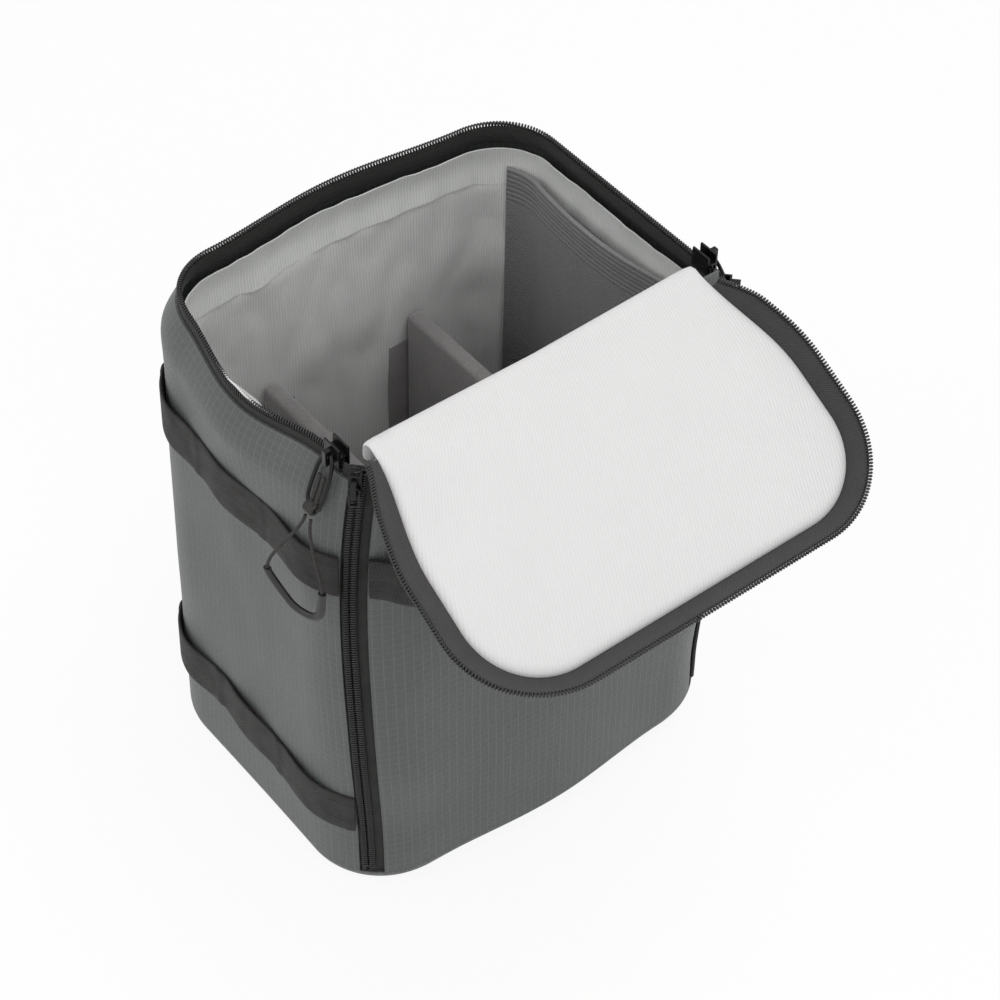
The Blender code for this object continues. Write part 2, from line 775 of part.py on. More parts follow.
def build_ring(name, half, length, wire, axes, pivot):
    """Make a pull's wire frame, hanging from the pivot's axis."""
    across_axis, down_axis = axes
    frame = rounded_frame(half, length, half / 2)
    points = [across_axis * across + down_axis * drop for across, drop in frame]
    tube(name, points, wire, METAL_LOOK, pivot, True)


def build_knot(side, word, pivot):
    """Make the cord's knot, a short sleeve round the pull's lower bar."""
    forward, outward, down = pull_axes(side)
    through = forward.cross(down)
    hole = PULL_WIRE / 2 + SLIDE_GAP
    shell = hole + KNOT_WALL
    bar = down * PULL_LENGTH
    outer = [(-shell, -shell), (-shell, shell), (shell + KNOT_DROP, shell),
             (shell + KNOT_DROP, -shell)]
    inner = [(-hole, -hole), (-hole, hole), (hole, hole), (hole, -hole)]
    form = bmesh.new()
    rows = []
    for outline, half in ((outer, -1), (outer, 1), (inner, 1), (inner, -1)):
        offset = bar + forward * half * KNOT_WIDTH / 2
        row = [form.verts.new(offset + down * a + through * b) for a, b in outline]
        rows.append(row + row[:1])
    add_grid(form, rows, True)
    finish_mesh(f"cord_knot_{word}", form, CORD_LOOK, pivot)


def knot_foot():
    """Return how far along the lean direction the knot reaches."""
    return PULL_LENGTH + PULL_WIRE / 2 + SLIDE_GAP + KNOT_WALL + KNOT_DROP


def grip_top(side):
    """Return the middle of the grip's upper edge, from the pull's pivot."""
    return Vector((side * GRIP_STAND_OFF, GRIP_SHIFT, -GRIP_DROP))


def cord_points(start, start_way, end):
    """Return points on one smooth curve that leaves along start_way and ends upright."""
    length = (end - start).length
    first = start + start_way * length * CORD_LEAD_SHARE
    last = end + Vector((0, 0, 1)) * length * CORD_LEAD_SHARE
    points = []
    for share in spread(0, 1, CORD_STEPS):
        rest = 1 - share
        points.append(start * rest ** 3 + first * 3 * rest ** 2 * share
                      + last * 3 * rest * share ** 2 + end * share ** 3)
    return points


def build_cords(side, word, pivot):
    """Make the two legs of cord between the knot and the grip."""
    forward, outward, down = pull_axes(side)
    arm_way = grip_axes(side)[0]
    for sign, place in ((1, "front"), (-1, "back")):
        start = down * (knot_foot() + GAP) + forward * sign * CORD_SPREAD
        arm = grip_top(side) + arm_way * sign * (GRIP_HALF_WIDTH - GRIP_WALL / 2)
        points = cord_points(start, down, arm + Vector((0, 0, GAP)))
        tube(f"pull_cord_{word}_{place}", points, CORD_DIAMETER, CORD_LOOK, pivot, False)


def build_grip(side, word, pivot):
    """Make the moulded U-shaped grip on the ends of the cord."""
    forward, outward = grip_axes(side)
    wall = GRIP_WALL
    outer = [(-GRIP_HALF_WIDTH, 0), (-GRIP_KNEE_PLACE, GRIP_KNEE), (GRIP_FOOT_BACK, GRIP_HEIGHT),
             (GRIP_FOOT_FRONT, GRIP_HEIGHT), (GRIP_HALF_WIDTH, 0)]
    inner = [(GRIP_HALF_WIDTH - wall, 0), (GRIP_FOOT_FRONT - wall * GRIP_SLANT_SHARE,
                                           GRIP_HEIGHT - wall),
             (GRIP_FOOT_BACK + wall * GRIP_SLANT_SHARE, GRIP_HEIGHT - wall),
             (wall - GRIP_KNEE_PLACE, GRIP_KNEE - wall * GRIP_SLANT_SHARE),
             (wall - GRIP_HALF_WIDTH, 0)]
    frame = (grip_top(side), forward, (0, 0, -1), outward)
    prism(f"pull_grip_{word}", outer + inner, frame, GRIP_THICKNESS, PLASTIC_LOOK, pivot)


def build_lid_pull(side, word, carrier, face):
    """Make a lid slider's ring, knot, cord and grip on their own pivot."""
    pivot = make_empty(f"lid_pull_pivot_{word}", (side * (face + BRIDGE_DEPTH / 2), 0, 0), carrier)
    forward, outward, down = pull_axes(side)
    build_ring(f"lid_pull_{word}", PULL_WIDTH / 2, PULL_LENGTH, PULL_WIRE, (forward, down), pivot)
    build_knot(side, word, pivot)
    build_cords(side, word, pivot)
    build_grip(side, word, pivot)


def build_corner_slider(side, word, carrier, tangent, normal):
    """Make a corner zip slider; only its body half wraps the coil.

    The front plate stops at the middle of the zip, so that the panel's coil
    can leave sideways as the panel folds down.
    """
    half = CORNER_SLIDER_HALF
    post = SLIDER_POST / 2
    coil_edge = HALF_SLOT + COIL_WIDTH + SLIDE_GAP
    under = GAP + CORNER_COIL_THICKNESS + SLIDE_GAP
    face = under + PLATE
    rim_radius = outline_sizes(RIM_HEIGHT)[2]
    back = -(TAPE + half ** 2 / (2 * rim_radius) + SLIDE_GAP)
    outline = [(-half, back - PLATE), (half, back - PLATE), (half, back), (post, back),
               (post, under), (coil_edge, under), (coil_edge, SLIDE_GAP), (half, SLIDE_GAP),
               (half, face), (-post, face), (-post, back), (-half, back)]
    slider = prism(f"corner_slider_{word}", outline, ((0, 0, 0), tangent, normal, (0, 0, 1)),
                   SLIDER_LENGTH, METAL_LOOK, carrier)
    middle = tangent * half / 2
    add_bridge(slider, face, (middle, (0, 0, 1), normal, tangent), carrier)
    return middle + normal * (face + BRIDGE_DEPTH / 2)


def build_sliders():
    """Make the four sliders with their pulls, each on its own carrier."""
    for side, word in ((-1, "left"), (1, "right")):
        coil_place = BODY_WIDTH / 2 - RIM_INSET - TAPE_MID
        start = rim_zip_start() + SLIDER_REST
        carrier = make_empty(f"lid_slider_carrier_{word}", (side * coil_place, start, RIM_HEIGHT))
        face = build_lid_slider(side, word, carrier)
        build_lid_pull(side, word, carrier, face)
        origin, tangent, normal = zip_frame(side)
        height = corner_zip_top() - SLIDER_LENGTH / 2
        carrier = make_empty(f"corner_slider_carrier_{word}", origin + Vector((0, 0, height)))
        place = build_corner_slider(side, word, carrier, tangent, normal)
        pivot = make_empty(f"corner_pull_pivot_{word}", place, carrier)
        half = BRIDGE_WIDTH / 2 + CORNER_PULL_WIRE / 2 + GAP
        axes = (tangent, Vector((0, 0, -1)))
        build_ring(f"corner_pull_{word}", half, CORNER_PULL_LENGTH, CORNER_PULL_WIRE, axes, pivot)


def main():
    """Build the whole insert."""
    clear_scene()
    build_base()
    build_walls()
    build_rim_zip()
    for side in (-1, 1):
        build_corner_half("corner", side, True)
    build_zip_stops()
    build_side_straps()
    build_pocket()
    build_dividers()
    panel_hinge = make_empty("panel_hinge", (0, -BODY_DEPTH / 2, WALL_FOOT))
    build_panel(panel_hinge)
    build_handle(panel_hinge)
    lid_hinge = make_empty("lid_hinge", (0, FRONT_OF_RIM + BODY_DEPTH / 2, FOLD_HEIGHT - WALL_FOOT),
                           panel_hinge)
    lid_hinge.rotation_euler.x = LID_REST_ANGLE
    build_lid(lid_hinge)
    build_sliders()


main()
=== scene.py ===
"""Looks of the padded camera bag insert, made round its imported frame.

All lengths are in metres. Z is up and the front panel faces -Y. Soft pieces are
built on the frame's own outline, so that they stay where the solids are.
"""
import math

import bmesh
import bpy
import numpy as np
from mathutils import Euler, Matrix, Vector, noise


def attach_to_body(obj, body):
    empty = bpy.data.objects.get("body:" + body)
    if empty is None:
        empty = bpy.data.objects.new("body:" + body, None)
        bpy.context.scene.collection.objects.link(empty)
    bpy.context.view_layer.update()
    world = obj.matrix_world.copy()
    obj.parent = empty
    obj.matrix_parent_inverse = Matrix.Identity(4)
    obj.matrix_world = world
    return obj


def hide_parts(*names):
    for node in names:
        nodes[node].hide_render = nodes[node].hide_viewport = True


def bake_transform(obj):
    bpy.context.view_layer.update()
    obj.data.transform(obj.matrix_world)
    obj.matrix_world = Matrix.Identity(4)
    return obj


# Camera and light
CAMERA_PLACE = (-0.62946, -0.82108, 1.20048)
CAMERA_YAW = math.radians(-39.114)
CAMERA_ELEVATION = math.radians(45.569)
CAMERA_ROLL = math.radians(1.475)
CAMERA_LENS = 108
CAMERA_SENSOR = 36
WORLD_LIGHT = 0.50
KEY_POWER = 4.5
KEY_SIZE = 0.9
KEY_PLACE = (-1.25, 0.15, 1.15)
TOP_POWER = 5.8
TOP_SIZE = 0.8
TOP_PLACE = (0.35, -0.25, 1.60)
FRONT_POWER = 4.6
FRONT_SIZE = 0.9
FRONT_PLACE = (-0.35, -1.30, 1.30)
AIM_PLACE = (0, -0.04, 0.18)
FLOOR_HALF = 3.0
FLOOR_CLOUD = 0.5
FLOOR_GLOW_SHARE = 0.86
FLOOR_GLOW = 1.04

# Body, as in the frame
BODY_WIDTH = 0.230
BODY_DEPTH = 0.182
BODY_CORNER = 0.042
RIM_INSET = 0.008
RIM_HEIGHT = 0.290
RIM_SEAM = 0.282
SHOULDER_START = 0.260
WALL_FOOT = 0.0123
FACING_FOOT = 0.252
FACING_TOP = 0.2748
TAPE_FOOT = 0.2738
COIL_FOOT = 0.2868
CORNER_ZIP_TOP = 0.289
PANEL_TOP = 0.3018
PANEL_LINING_TOP = 0.2931
LINING_IN = 0.0088
LINING_FACE = 0.0078
FABRIC = 0.0012
THIN_SHEET = 0.0008
TAPE = 0.0016
TAPE_OUT = 0.0015
TAPE_WIDTH = 0.0103
TAPE_EDGE = 0.0100
WALL_CLOTH_EDGE = 0.0046
PANEL_CLOTH_EDGE = 0.0078
HALF_SLOT = 0.0006
CORNER_TAPE_DEPTH = 0.0014
CORNER_TAPE = 0.0010
ZIP_START_Y = -0.0683
GAP = 0.0003

# Softness of the filled bag
CORNER_PUSH = 0.0062
CORNER_PUSH_TOP = 0.262
CORNER_PUSH_FOOT = 0.030
CORNER_PUSH_RUN = 0.080
CORNER_PUSH_FOOT_SHARE = 0.38
CORNER_PUSH_REACH = 0.060
FRONT_BOW = 0.0085
FRONT_BOW_HALF = 0.088
ZIP_SWAY = 0.0068
ZIP_SWAY_REACH = 0.030
ZIP_SWAY_SHIFT = 1.8
SIDE_BOW = 0.0085
SIDE_SAG = 0.0055
SIDE_BOW_HALF = 0.062
REAR_BOW = 0.0070
REAR_BOW_HALF = 0.080
BOW_START = 0.190
WIDTH_START = BODY_WIDTH / 4
WIDTH_RUN = BODY_WIDTH / 6
DEPTH_START = BODY_DEPTH / 4
DEPTH_RUN = BODY_DEPTH / 6
LEFT_START = BODY_WIDTH / 3
LEFT_RUN = BODY_WIDTH / 16

# Waves and folds of the cloth
WALL_WAVE = 0.0013
WALL_WAVE_SIZE = 0.055
CREASE_SIZE = 0.016
CREASE_SHARE = 0.35
CREASE_LEVEL_SHARE = 0.35
FOOT_FADE = 0.03
TOP_FADE = 0.02
LINING_LAP = 0.006
LINING_GAP = 0.0002
LINING_FOLD = 0.0030
LINING_FOLD_SIZE = 0.020
LINING_LEVEL_SHARE = 0.45
LINING_TOP_FADE = 0.010
LINING_BROAD_SIZE = 0.045
LINING_BROAD_SHARE = 0.8
LINING_LIFT_SHARE = 0.6
PANEL_FOLD_SIZE = 0.024
PANEL_FOLD_SHARE = 0.7
PANEL_LEVEL_SHARE = 0.5
FACING_IN = 0.0006
FACING_SPREAD = 0.0012
FACING_FOLD = 0.0026
FACING_FOLD_SIZE = 0.020
FACING_WAVE = 0.0026
FACING_LEAN = 0.0140
FACING_LIFT = 0.0150
FACING_LIFT_LOSS_SHARE = 0.4
FACING_DRAW = 0.0020
PUCKER = 0.0010
PUCKER_SIZE = 0.009
PUCKER_LEVEL_SHARE = 0.3

# Zip coils
COIL_PITCH = 0.00155
COIL_WIRE = 0.00052
COIL_TURN_POINTS = 10
COIL_WIRE_SIDES = 5
COIL_WIDTH = 0.0032
COIL_THICKNESS = 0.0028
COIL_REACH = 0.0007
CORNER_COIL_RISE = 0.0045
CORNER_COIL_IN = 0.0002
CORNER_COIL_THICKNESS = 0.0030

# Webbing
STRAP_WIDTH = 0.025
STRAP = 0.0016
STRAP_BOW = 0.0020
STRAP_SPANS = 3
STRAP_OFFSET_SHARES = (-1, -0.97, -0.88, -0.5, 0, 0.5, 0.88, 0.97, 1)
STRAP_DROP_SHARES = (0.5, 0.16, 0, 0, 0, 0, 0, 0.16, 0.5)
STRAP_SINK_SHARE = 0.45
UPPER_STRAP = 0.223
LOWER_STRAP = 0.058
HANDLE_BOW = 0.012
HANDLE_RUN = 0.020
TACK_LENGTH = 0.0026
TACK_RISE = 0.0005

# Lid, open
LID_START_Y = -0.0825
LID_START_Z = 0.3046
LID_SHIFT = -0.0075
LID_HALF_WIDTH = 0.0930
LID_FAR_HALF_WIDTH = 0.1035
LID_LENGTH = 0.127
LID_SPAN_LIMIT = 1.3
LID_CORNER = 0.038
LID_NEAR_CORNER = 0.006
LEAST_CORNER = 0.0006
LEAST_NEAR_CORNER = 0.0004
LEAST_RUN = 0.0001
LID_RUN_SHARES = (0.15, 0.13, 0.15, 0.13, 0.15, 0.04, 0.21, 0.04)
LID_EDGE_RUNS = 5
LID_DROOP_START = math.radians(17)
LID_DROOP_END = math.radians(24)
LID_SKEW = -0.060
LID_TILT = 0.022
LID_TILT_RUN = 0.050
LID_SLANT = 0.035
LID_PAD = 0.0034
LID_COVER = 0.0026
LID_PAD_CROWN = 0.0050
LID_PAD_REACH = 0.066
LID_PAD_BACK = 0.0006
LID_COVER_BACK = 0.0008
LID_COVER_START = 0.0010
LID_ROLL = 0.0045
LID_FOLD_SHARE = 0.35
LID_FOLD_RUN = 0.016
LID_BEHIND = 0.0180
SKIRT_WIDTH = 0.0115
SKIRT_LEFT_RISE = 0.0045
SKIRT_RIGHT_RISE = 0.0100
SKIRT_FRONT_RISE = 0.0075
SKIRT = 0.0012
SKIRT_DROP = 0.0004
SKIRT_LAP_SHARE = 0.12
SKIRT_START_RUN = 0.03
SKIRT_START_SHARE = 0.40
SKIRT_START_RISE_SHARE = 0.25
SKIRT_CURL = 1.4

# Inside
POCKET_TOP = 0.262
POCKET_BOTTOM = 0.110
POCKET_SLACK = 0.0085
POCKET_SHEET = 0.0012
POCKET_CLEAR = 0.0013
HEM_HEIGHT = 0.009
HEM = 0.0022
DIVIDER_PLACE = 0.044
DIVIDER = 0.009
DIVIDER_END = 0.0803
DIVIDER_TOP = 0.188
DIVIDER_EDGE = 0.0035
DIVIDER_BULGE = 0.0008
TAB_WIDTH = 0.030
TAB_FOOT = 0.030
TAB_TOP = 0.170
TAB_FACE = 0.0808
TAB = 0.0011
TAB_EDGE = 0.0004
BASE_HEIGHT = 0.012
BASE_ROUND = 0.011
BASE_LIP = 0.0002
TRAY_FLOOR = 0.0016
FLOOR_FOOT = 0.0081
FLOOR_PAD_SECTIONS = ((0.006, FLOOR_FOOT), (0.0045, 0.0091), (0.0045, 0.0108),
                      (0.007, BASE_HEIGHT))

# Lid pulls, as in the frame
PULL_PIVOT = (0.1091, -0.063314, 0.290)
PULL_LEAN = math.radians(21)
KNOT_FOOT = 0.03225
CORD_DIAMETER = 0.0016
CORD_SPREAD = 0.0020
CORD_LEAD_SHARE = 0.25
CORD_STEPS = 16
GRIP_DROP = 0.068
GRIP_SHIFT = 0.002
GRIP_STAND_OFF = 0.0190
GRIP_ARM = 0.01475
GRIP_PATH = ((-GRIP_ARM, 0), (-GRIP_ARM, 0.002), (-0.0068, 0.0118), (0.0002, 0.01875),
             (0.0130, 0.01875), (GRIP_ARM, 0.002), (GRIP_ARM, 0))
GRIP_YAW = math.radians(20)
GRIP_HALF_THICKNESS = 0.0016
GRIP_HALF_WALL = 0.0021
PULL_LENGTH = 0.0272
PULL_HEAD = 0.0008
PULL_TOP_HALF = 0.0042
PULL_FOOT_HALF = 0.0056
PULL_FOOT_CUT = 0.0050
PULL_SHEET = 0.0009
PULL_WALL = 0.0012
KNOT_TURNS = 4
KNOT_TURN_POINTS = 14
KNOT_HALF = 0.0030
KNOT_LOOP = 0.0022
KNOT_STRAND = 0.0010
LEG_MIDDLE_SHARE = 0.3
LEG_TOP_SHARE = 0.62
LEG_WIDE_SHARE = 1.1
LEG_THIN_SHARE = 0.9

# Mesh steps and counts, and the angles in degrees above which an edge stays sharp
COLUMN_STEP = 0.0030
ROW_STEP = 0.0032
FACING_STEP = 0.0015
TAPE_STEP = 0.0016
TAPE_COLUMNS = 7
RIM_STEPS = 180
LID_STEPS = 240
LID_RINGS = 34
LID_RING_POWER = 1.5
SKIRT_STEPS = 480
SKIRT_ROWS = 8
TUBE_SIDES = 10
GRIP_SIDES = 12
CUT_SHARE = 0.25
CUT_ROUNDS = 3
BASE_TURNS = range(0, 91, 10)
BLOCK_EDGE_STEPS = 4
BLOCK_EDGE_SHAPE = 0.6
BLOCK_LONG_EDGE = 0.05
BLOCK_CUTS = 14
SHEET_SHARP = 40
ROUND_SHARP = 60
COIL_SHARP = 80

# Colours, as sRGB values from 0 to 255
WHITE = (255, 255, 255)
SHELL_COLOUR = (87, 91, 89)
SHELL_LINE = (114, 118, 116)
TAPE_COLOUR = (34, 33, 32)
LID_TAPE_COLOUR = (58, 57, 57)
COIL_COLOUR = (30, 29, 29)
WEB_COLOUR = (30, 28, 27)
FACING_COLOUR = (236, 238, 235)
LINING_COLOUR = (224, 224, 223)
LID_COLOUR = (236, 235, 235)
POCKET_DARK = (72, 72, 73)
POCKET_LIGHT = (128, 128, 129)
BRUSHED_COLOUR = (140, 136, 136)
METAL_COLOUR = (36, 35, 35)
PLASTIC_COLOUR = (33, 32, 33)
CORD_COLOUR = (48, 46, 45)
BOARD_COLOUR = (60, 58, 56)
FLOOR_COLOUR = (238, 238, 238)

# Weaves and grains
RIPSTOP_STEP = 0.0042
RIPSTOP_LINE = 0.0009
RIPSTOP_CROSS_LINE = 0.0008
RIPSTOP_WEAVE = 0.0009
RIPSTOP_CLOUD = 0.040
RIPSTOP_GRAIN = 0.0016
RIPSTOP_RISE = 0.00018
TWILL_STEP = 0.0011
TWILL_ROW_STEP = 0.0052
TWILL_ROW = 0.0007
TWILL_STITCH_STEP = 0.0026
TWILL_STITCH = 0.0018
TWILL_CLOUD = 0.012
TWILL_RISE = 0.00016
NYLON_CLOUD = 0.004
NYLON_GRAIN = 0.0006
NYLON_RISE = 0.00005
WEB_ROW = 0.0031
WEB_STEP = 0.0016
WEB_CORD = 0.0005
WEB_CLOUD = 0.010
WEB_RISE = 0.00028
RIB_STEP = 0.0016
RIB_SLUB = 0.0022
RIB_CLOUD = 0.030
RIB_RISE = 0.00016
TRICOT_STEP = 0.0017
TRICOT_GRAIN = 0.0014
TRICOT_CLOUD = 0.035
TRICOT_RISE = 0.00014
KNIT_HEM_STEP = 0.0030
KNIT_STEP = 0.0014
KNIT_HEM = 0.021
KNIT_FLECK = 1 / 900
KNIT_RISE = 0.0005
LOOP_GRAIN = 0.0012
LOOP_CLOUD = 0.018
LOOP_RISE = 0.0006
HARD_CLOUD = 0.006
HARD_RISE = 0.00004
BRAID_STEP = 0.0010
BRAID_CLOUD = 0.002
BRAID_RISE = 0.0002
CLOUD_LOW = 0.3
CLOUD_HIGH = 0.7

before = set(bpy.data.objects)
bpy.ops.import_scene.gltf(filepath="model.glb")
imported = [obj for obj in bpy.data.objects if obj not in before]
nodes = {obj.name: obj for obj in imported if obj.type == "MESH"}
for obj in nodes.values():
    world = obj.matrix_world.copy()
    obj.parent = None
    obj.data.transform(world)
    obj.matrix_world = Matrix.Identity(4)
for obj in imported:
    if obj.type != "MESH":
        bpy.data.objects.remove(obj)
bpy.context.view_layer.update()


def linear(colour):
    """Return an sRGB colour of 0-255 values as linear values with alpha 1."""
    shares = [value / 255 for value in colour]
    return tuple(s / 12.92 if s < 0.04045 else ((s + 0.055) / 1.055) ** 2.4
                 for s in shares) + (1,)


def shade(colour, factor):
    """Return an sRGB colour made lighter or darker."""
    return tuple(min(value * factor, 255) for value in colour)


def smooth(value):
    """Return a smooth step from 0 to 1 over the range 0 to 1."""
    held = np.clip(value, 0, 1)
    return held * held * (3 - 2 * held)


def new_object(name, data):
    """Add an object with this data to the scene."""
    item = bpy.data.objects.new(name, data)
    bpy.context.scene.collection.objects.link(item)
    return item


def attach(piece, body, slot, *solids):
    """Let a piece ride on a body and stand for these solids. The slot is not used."""
    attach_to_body(piece, body)
    if solids:
        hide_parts(*solids)


# Materials

def add_node(tree, kind, settings=None, **inputs):
    """Add a node with its properties and inputs. An input is named, or i and its number."""
    node = tree.nodes.new(kind)
    for key, value in (settings or {}).items():
        setattr(node, key, value)
    for key, value in inputs.items():
        socket = node.inputs[int(key[1:]) if key[1:].isdigit() else key]
        if isinstance(value, bpy.types.NodeSocket):
            tree.links.new(value, socket)
        else:
            socket.default_value = value
    return node


class Look:
    """A material of one colour, whose nodes are added one by one."""

    def __init__(self, name, colour, roughness, metallic=0.0, sheen=0.0):
        self.base = colour
        self.material = bpy.data.materials.new(name)
        self.material.use_nodes = True
        self.tree = self.material.node_tree
        self.shader = self.tree.nodes["Principled BSDF"]
        values = {"Base Color": linear(colour), "Roughness": roughness, "Metallic": metallic,
                  "Sheen Weight": sheen}
        for key, value in values.items():
            self.shader.inputs[key].default_value = value

    def add(self, kind, settings=None, **inputs):
        """Add a node to this material."""
        return add_node(self.tree, kind, settings, **inputs)

    def math(self, operation, first, second=0.0, third=0.0):
        """Return the output of a math node."""
        return self.add("ShaderNodeMath", {"operation": operation}, i0=first, i1=second,
                        i2=third).outputs[0]

    def axes(self, layer="UV"):
        """Return a coordinate and its parts: UV is in metres along the cloth."""
        output = self.add("ShaderNodeTexCoord").outputs[layer]
        return output, *self.add("ShaderNodeSeparateXYZ", i0=output).outputs

    def lines(self, coordinate, step, width):
        """Return 1 on evenly spaced lines and 0 between them."""
        return self.add("ShaderNodeMapRange", {"interpolation_type": "SMOOTHSTEP"},
                        i0=self.math("PINGPONG", coordinate, step / 2), i1=width / 2, i2=0.0,
                        i3=0.0, i4=1.0).outputs[0]

    def wave(self, coordinate, step):
        """Return a sine of the coordinate from 0 to 1."""
        turned = self.math("SINE", self.math("MULTIPLY", coordinate, 2 * math.pi / step))
        return self.math("MULTIPLY_ADD", turned, 0.5, 0.5)

    def cloud(self, place, size, detail=3.0):
        """Return soft noise of about this feature size, from 0 to 1."""
        return self.add("ShaderNodeTexNoise", Vector=place, Scale=1 / size,
                        Detail=detail).outputs["Fac"]

    def mix(self, share, first, second):
        """Return a colour between two, by share."""
        return self.add("ShaderNodeMix", {"data_type": "RGBA"}, i0=share, i6=first,
                        i7=second).outputs[2]

    def tone(self, value):
        """Return a colour as it is, or the material's own colour times a factor."""
        return linear(value if isinstance(value, tuple) else shade(self.base, value))

    def paint(self, share, dark, light, *layers):
        """Colour the surface between two tones by a share, and lay other tones over it.

        Each layer is where it lies from 0 to 1, its weight, and its tone.
        """
        ground = self.mix(share, self.tone(dark), self.tone(light))
        for cover, weight, tone in layers:
            ground = self.mix(self.math("MULTIPLY", cover, weight), ground, self.tone(tone))
        self.tree.links.new(ground, self.shader.inputs["Base Color"])

    def finish(self, cloud, smoothest, roughest, height, rise, strength):
        """Let a cloud set the roughness and a height raise the surface. Return the material."""
        ramp = self.add("ShaderNodeMapRange", i0=cloud, i1=CLOUD_LOW, i2=CLOUD_HIGH,
                        i3=smoothest, i4=roughest)
        self.tree.links.new(ramp.outputs[0], self.shader.inputs["Roughness"])
        bump = self.add("ShaderNodeBump", Height=height, Distance=rise, Strength=strength)
        self.tree.links.new(bump.outputs[0], self.shader.inputs["Normal"])
        return self.material


def ripstop_look():
    """Grey ripstop: fine lighter ribs up the cloth, fainter ones across it."""
    look = Look("ripstop_cloth", SHELL_COLOUR, roughness=0.62, sheen=0.10)
    place, u, v, _ = look.axes()
    upright = look.math("MULTIPLY", look.lines(u, RIPSTOP_STEP, RIPSTOP_LINE), 0.75)
    across = look.math("MULTIPLY", look.lines(v, RIPSTOP_STEP, RIPSTOP_CROSS_LINE), 0.45)
    grid = look.math("MAXIMUM", upright, across)
    weave = look.math("MULTIPLY", look.wave(u, RIPSTOP_WEAVE), look.wave(v, RIPSTOP_WEAVE))
    fine = look.cloud(place, RIPSTOP_GRAIN, detail=4.0)
    look.paint(look.cloud(place, RIPSTOP_CLOUD), 0.90, 1.08, (fine, 0.35, 0.82),
               (grid, 0.70, SHELL_LINE))
    return look.finish(fine, 0.44, 0.62, look.math("MULTIPLY_ADD", weave, 0.5, grid),
                       RIPSTOP_RISE, strength=0.8)


def tape_look(name, colour):
    """Black zip tape: a fine twill with rows of stitches."""
    look = Look(name, colour, roughness=0.80, sheen=0.04)
    place, u, v, _ = look.axes()
    twill = look.wave(look.math("ADD", u, v), TWILL_STEP)
    seam = look.math("MULTIPLY", look.lines(v, TWILL_ROW_STEP, TWILL_ROW),
                     look.lines(u, TWILL_STITCH_STEP, TWILL_STITCH))
    cloud = look.cloud(place, TWILL_CLOUD)
    look.paint(twill, 0.82, 1.15, (cloud, 0.4, 1.3), (seam, 0.5, 0.5))
    return look.finish(cloud, 0.70, 0.90, look.math("SUBTRACT", twill, seam), TWILL_RISE,
                       strength=0.8)


def coil_look():
    """Black nylon of the zip coils, a little glossy."""
    look = Look("nylon_coil", COIL_COLOUR, roughness=0.34)
    place = look.axes("Object")[0]
    cloud = look.cloud(place, NYLON_CLOUD)
    look.paint(cloud, 0.7, 1.35)
    return look.finish(cloud, 0.26, 0.44, look.cloud(place, NYLON_GRAIN), NYLON_RISE,
                       strength=0.5)


def webbing_look():
    """Dark webbing in a herringbone weave with tight edges."""
    look = Look("herringbone_webbing", WEB_COLOUR, roughness=0.78, sheen=0.05)
    place, u, v, _ = look.axes()
    stripe = look.wave(look.math("ADD", u, look.math("PINGPONG", v, WEB_ROW)), WEB_STEP)
    cord = look.lines(v, WEB_ROW, WEB_CORD)
    cloud = look.cloud(place, WEB_CLOUD)
    look.paint(stripe, 0.74, 1.22, (cloud, 0.35, 1.25), (cord, 0.4, 0.6))
    return look.finish(cloud, 0.68, 0.86, look.math("SUBTRACT", stripe, cord), WEB_RISE,
                       strength=0.9)


def ribbed_look(name, colour, contrast):
    """Light lining cloth with fine upright ribs."""
    look = Look(name, colour, roughness=0.88, sheen=0.35)
    place, u, _, _ = look.axes()
    rib = look.wave(u, RIB_STEP)
    slub = look.cloud(place, RIB_SLUB, detail=4.0)
    look.paint(look.cloud(place, RIB_CLOUD), 0.95, 1.03, (rib, contrast, 0.80),
               (slub, 0.25, 1.06))
    return look.finish(slub, 0.80, 0.95, look.math("ADD", rib, slub), RIB_RISE, strength=0.7)


def tricot_look():
    """Near-white brushed tricot of the lid, with a faint slanting knit."""
    look = Look("brushed_tricot", LID_COLOUR, roughness=0.92, sheen=0.5)
    place, u, v, _ = look.axes()
    rib = look.wave(look.math("MULTIPLY_ADD", v, 0.35, u), TRICOT_STEP)
    fuzz = look.cloud(place, TRICOT_GRAIN, detail=5.0)
    look.paint(look.cloud(place, TRICOT_CLOUD), 0.975, 1.0, (rib, 0.22, 0.90),
               (fuzz, 0.20, 0.94))
    return look.finish(fuzz, 0.86, 0.98, look.math("ADD", rib, fuzz), TRICOT_RISE, strength=0.6)


def pocket_look():
    """Dark heather rib knit: bold ribs at the hem, fine ones below."""
    look = Look("heather_rib_knit", POCKET_LIGHT, roughness=0.90, sheen=0.3)
    place, _, v, _ = look.axes()
    low = look.math("LESS_THAN", v, POCKET_TOP - KNIT_HEM)
    rib = look.mix(low, look.wave(v, KNIT_HEM_STEP), look.wave(v, KNIT_STEP))
    stretched = look.add("ShaderNodeVectorMath", {"operation": "MULTIPLY"}, i0=place,
                         i1=(1.0, 2.6, 1.0)).outputs[0]
    fleck = look.cloud(stretched, KNIT_FLECK)
    speck = look.add("ShaderNodeMapRange", i0=fleck, i1=0.42, i2=0.62, i3=0.0, i4=1.0)
    look.paint(rib, POCKET_DARK, POCKET_LIGHT, (speck.outputs[0], 0.45, 1.18))
    return look.finish(fleck, 0.82, 0.95, rib, KNIT_RISE, strength=0.9)


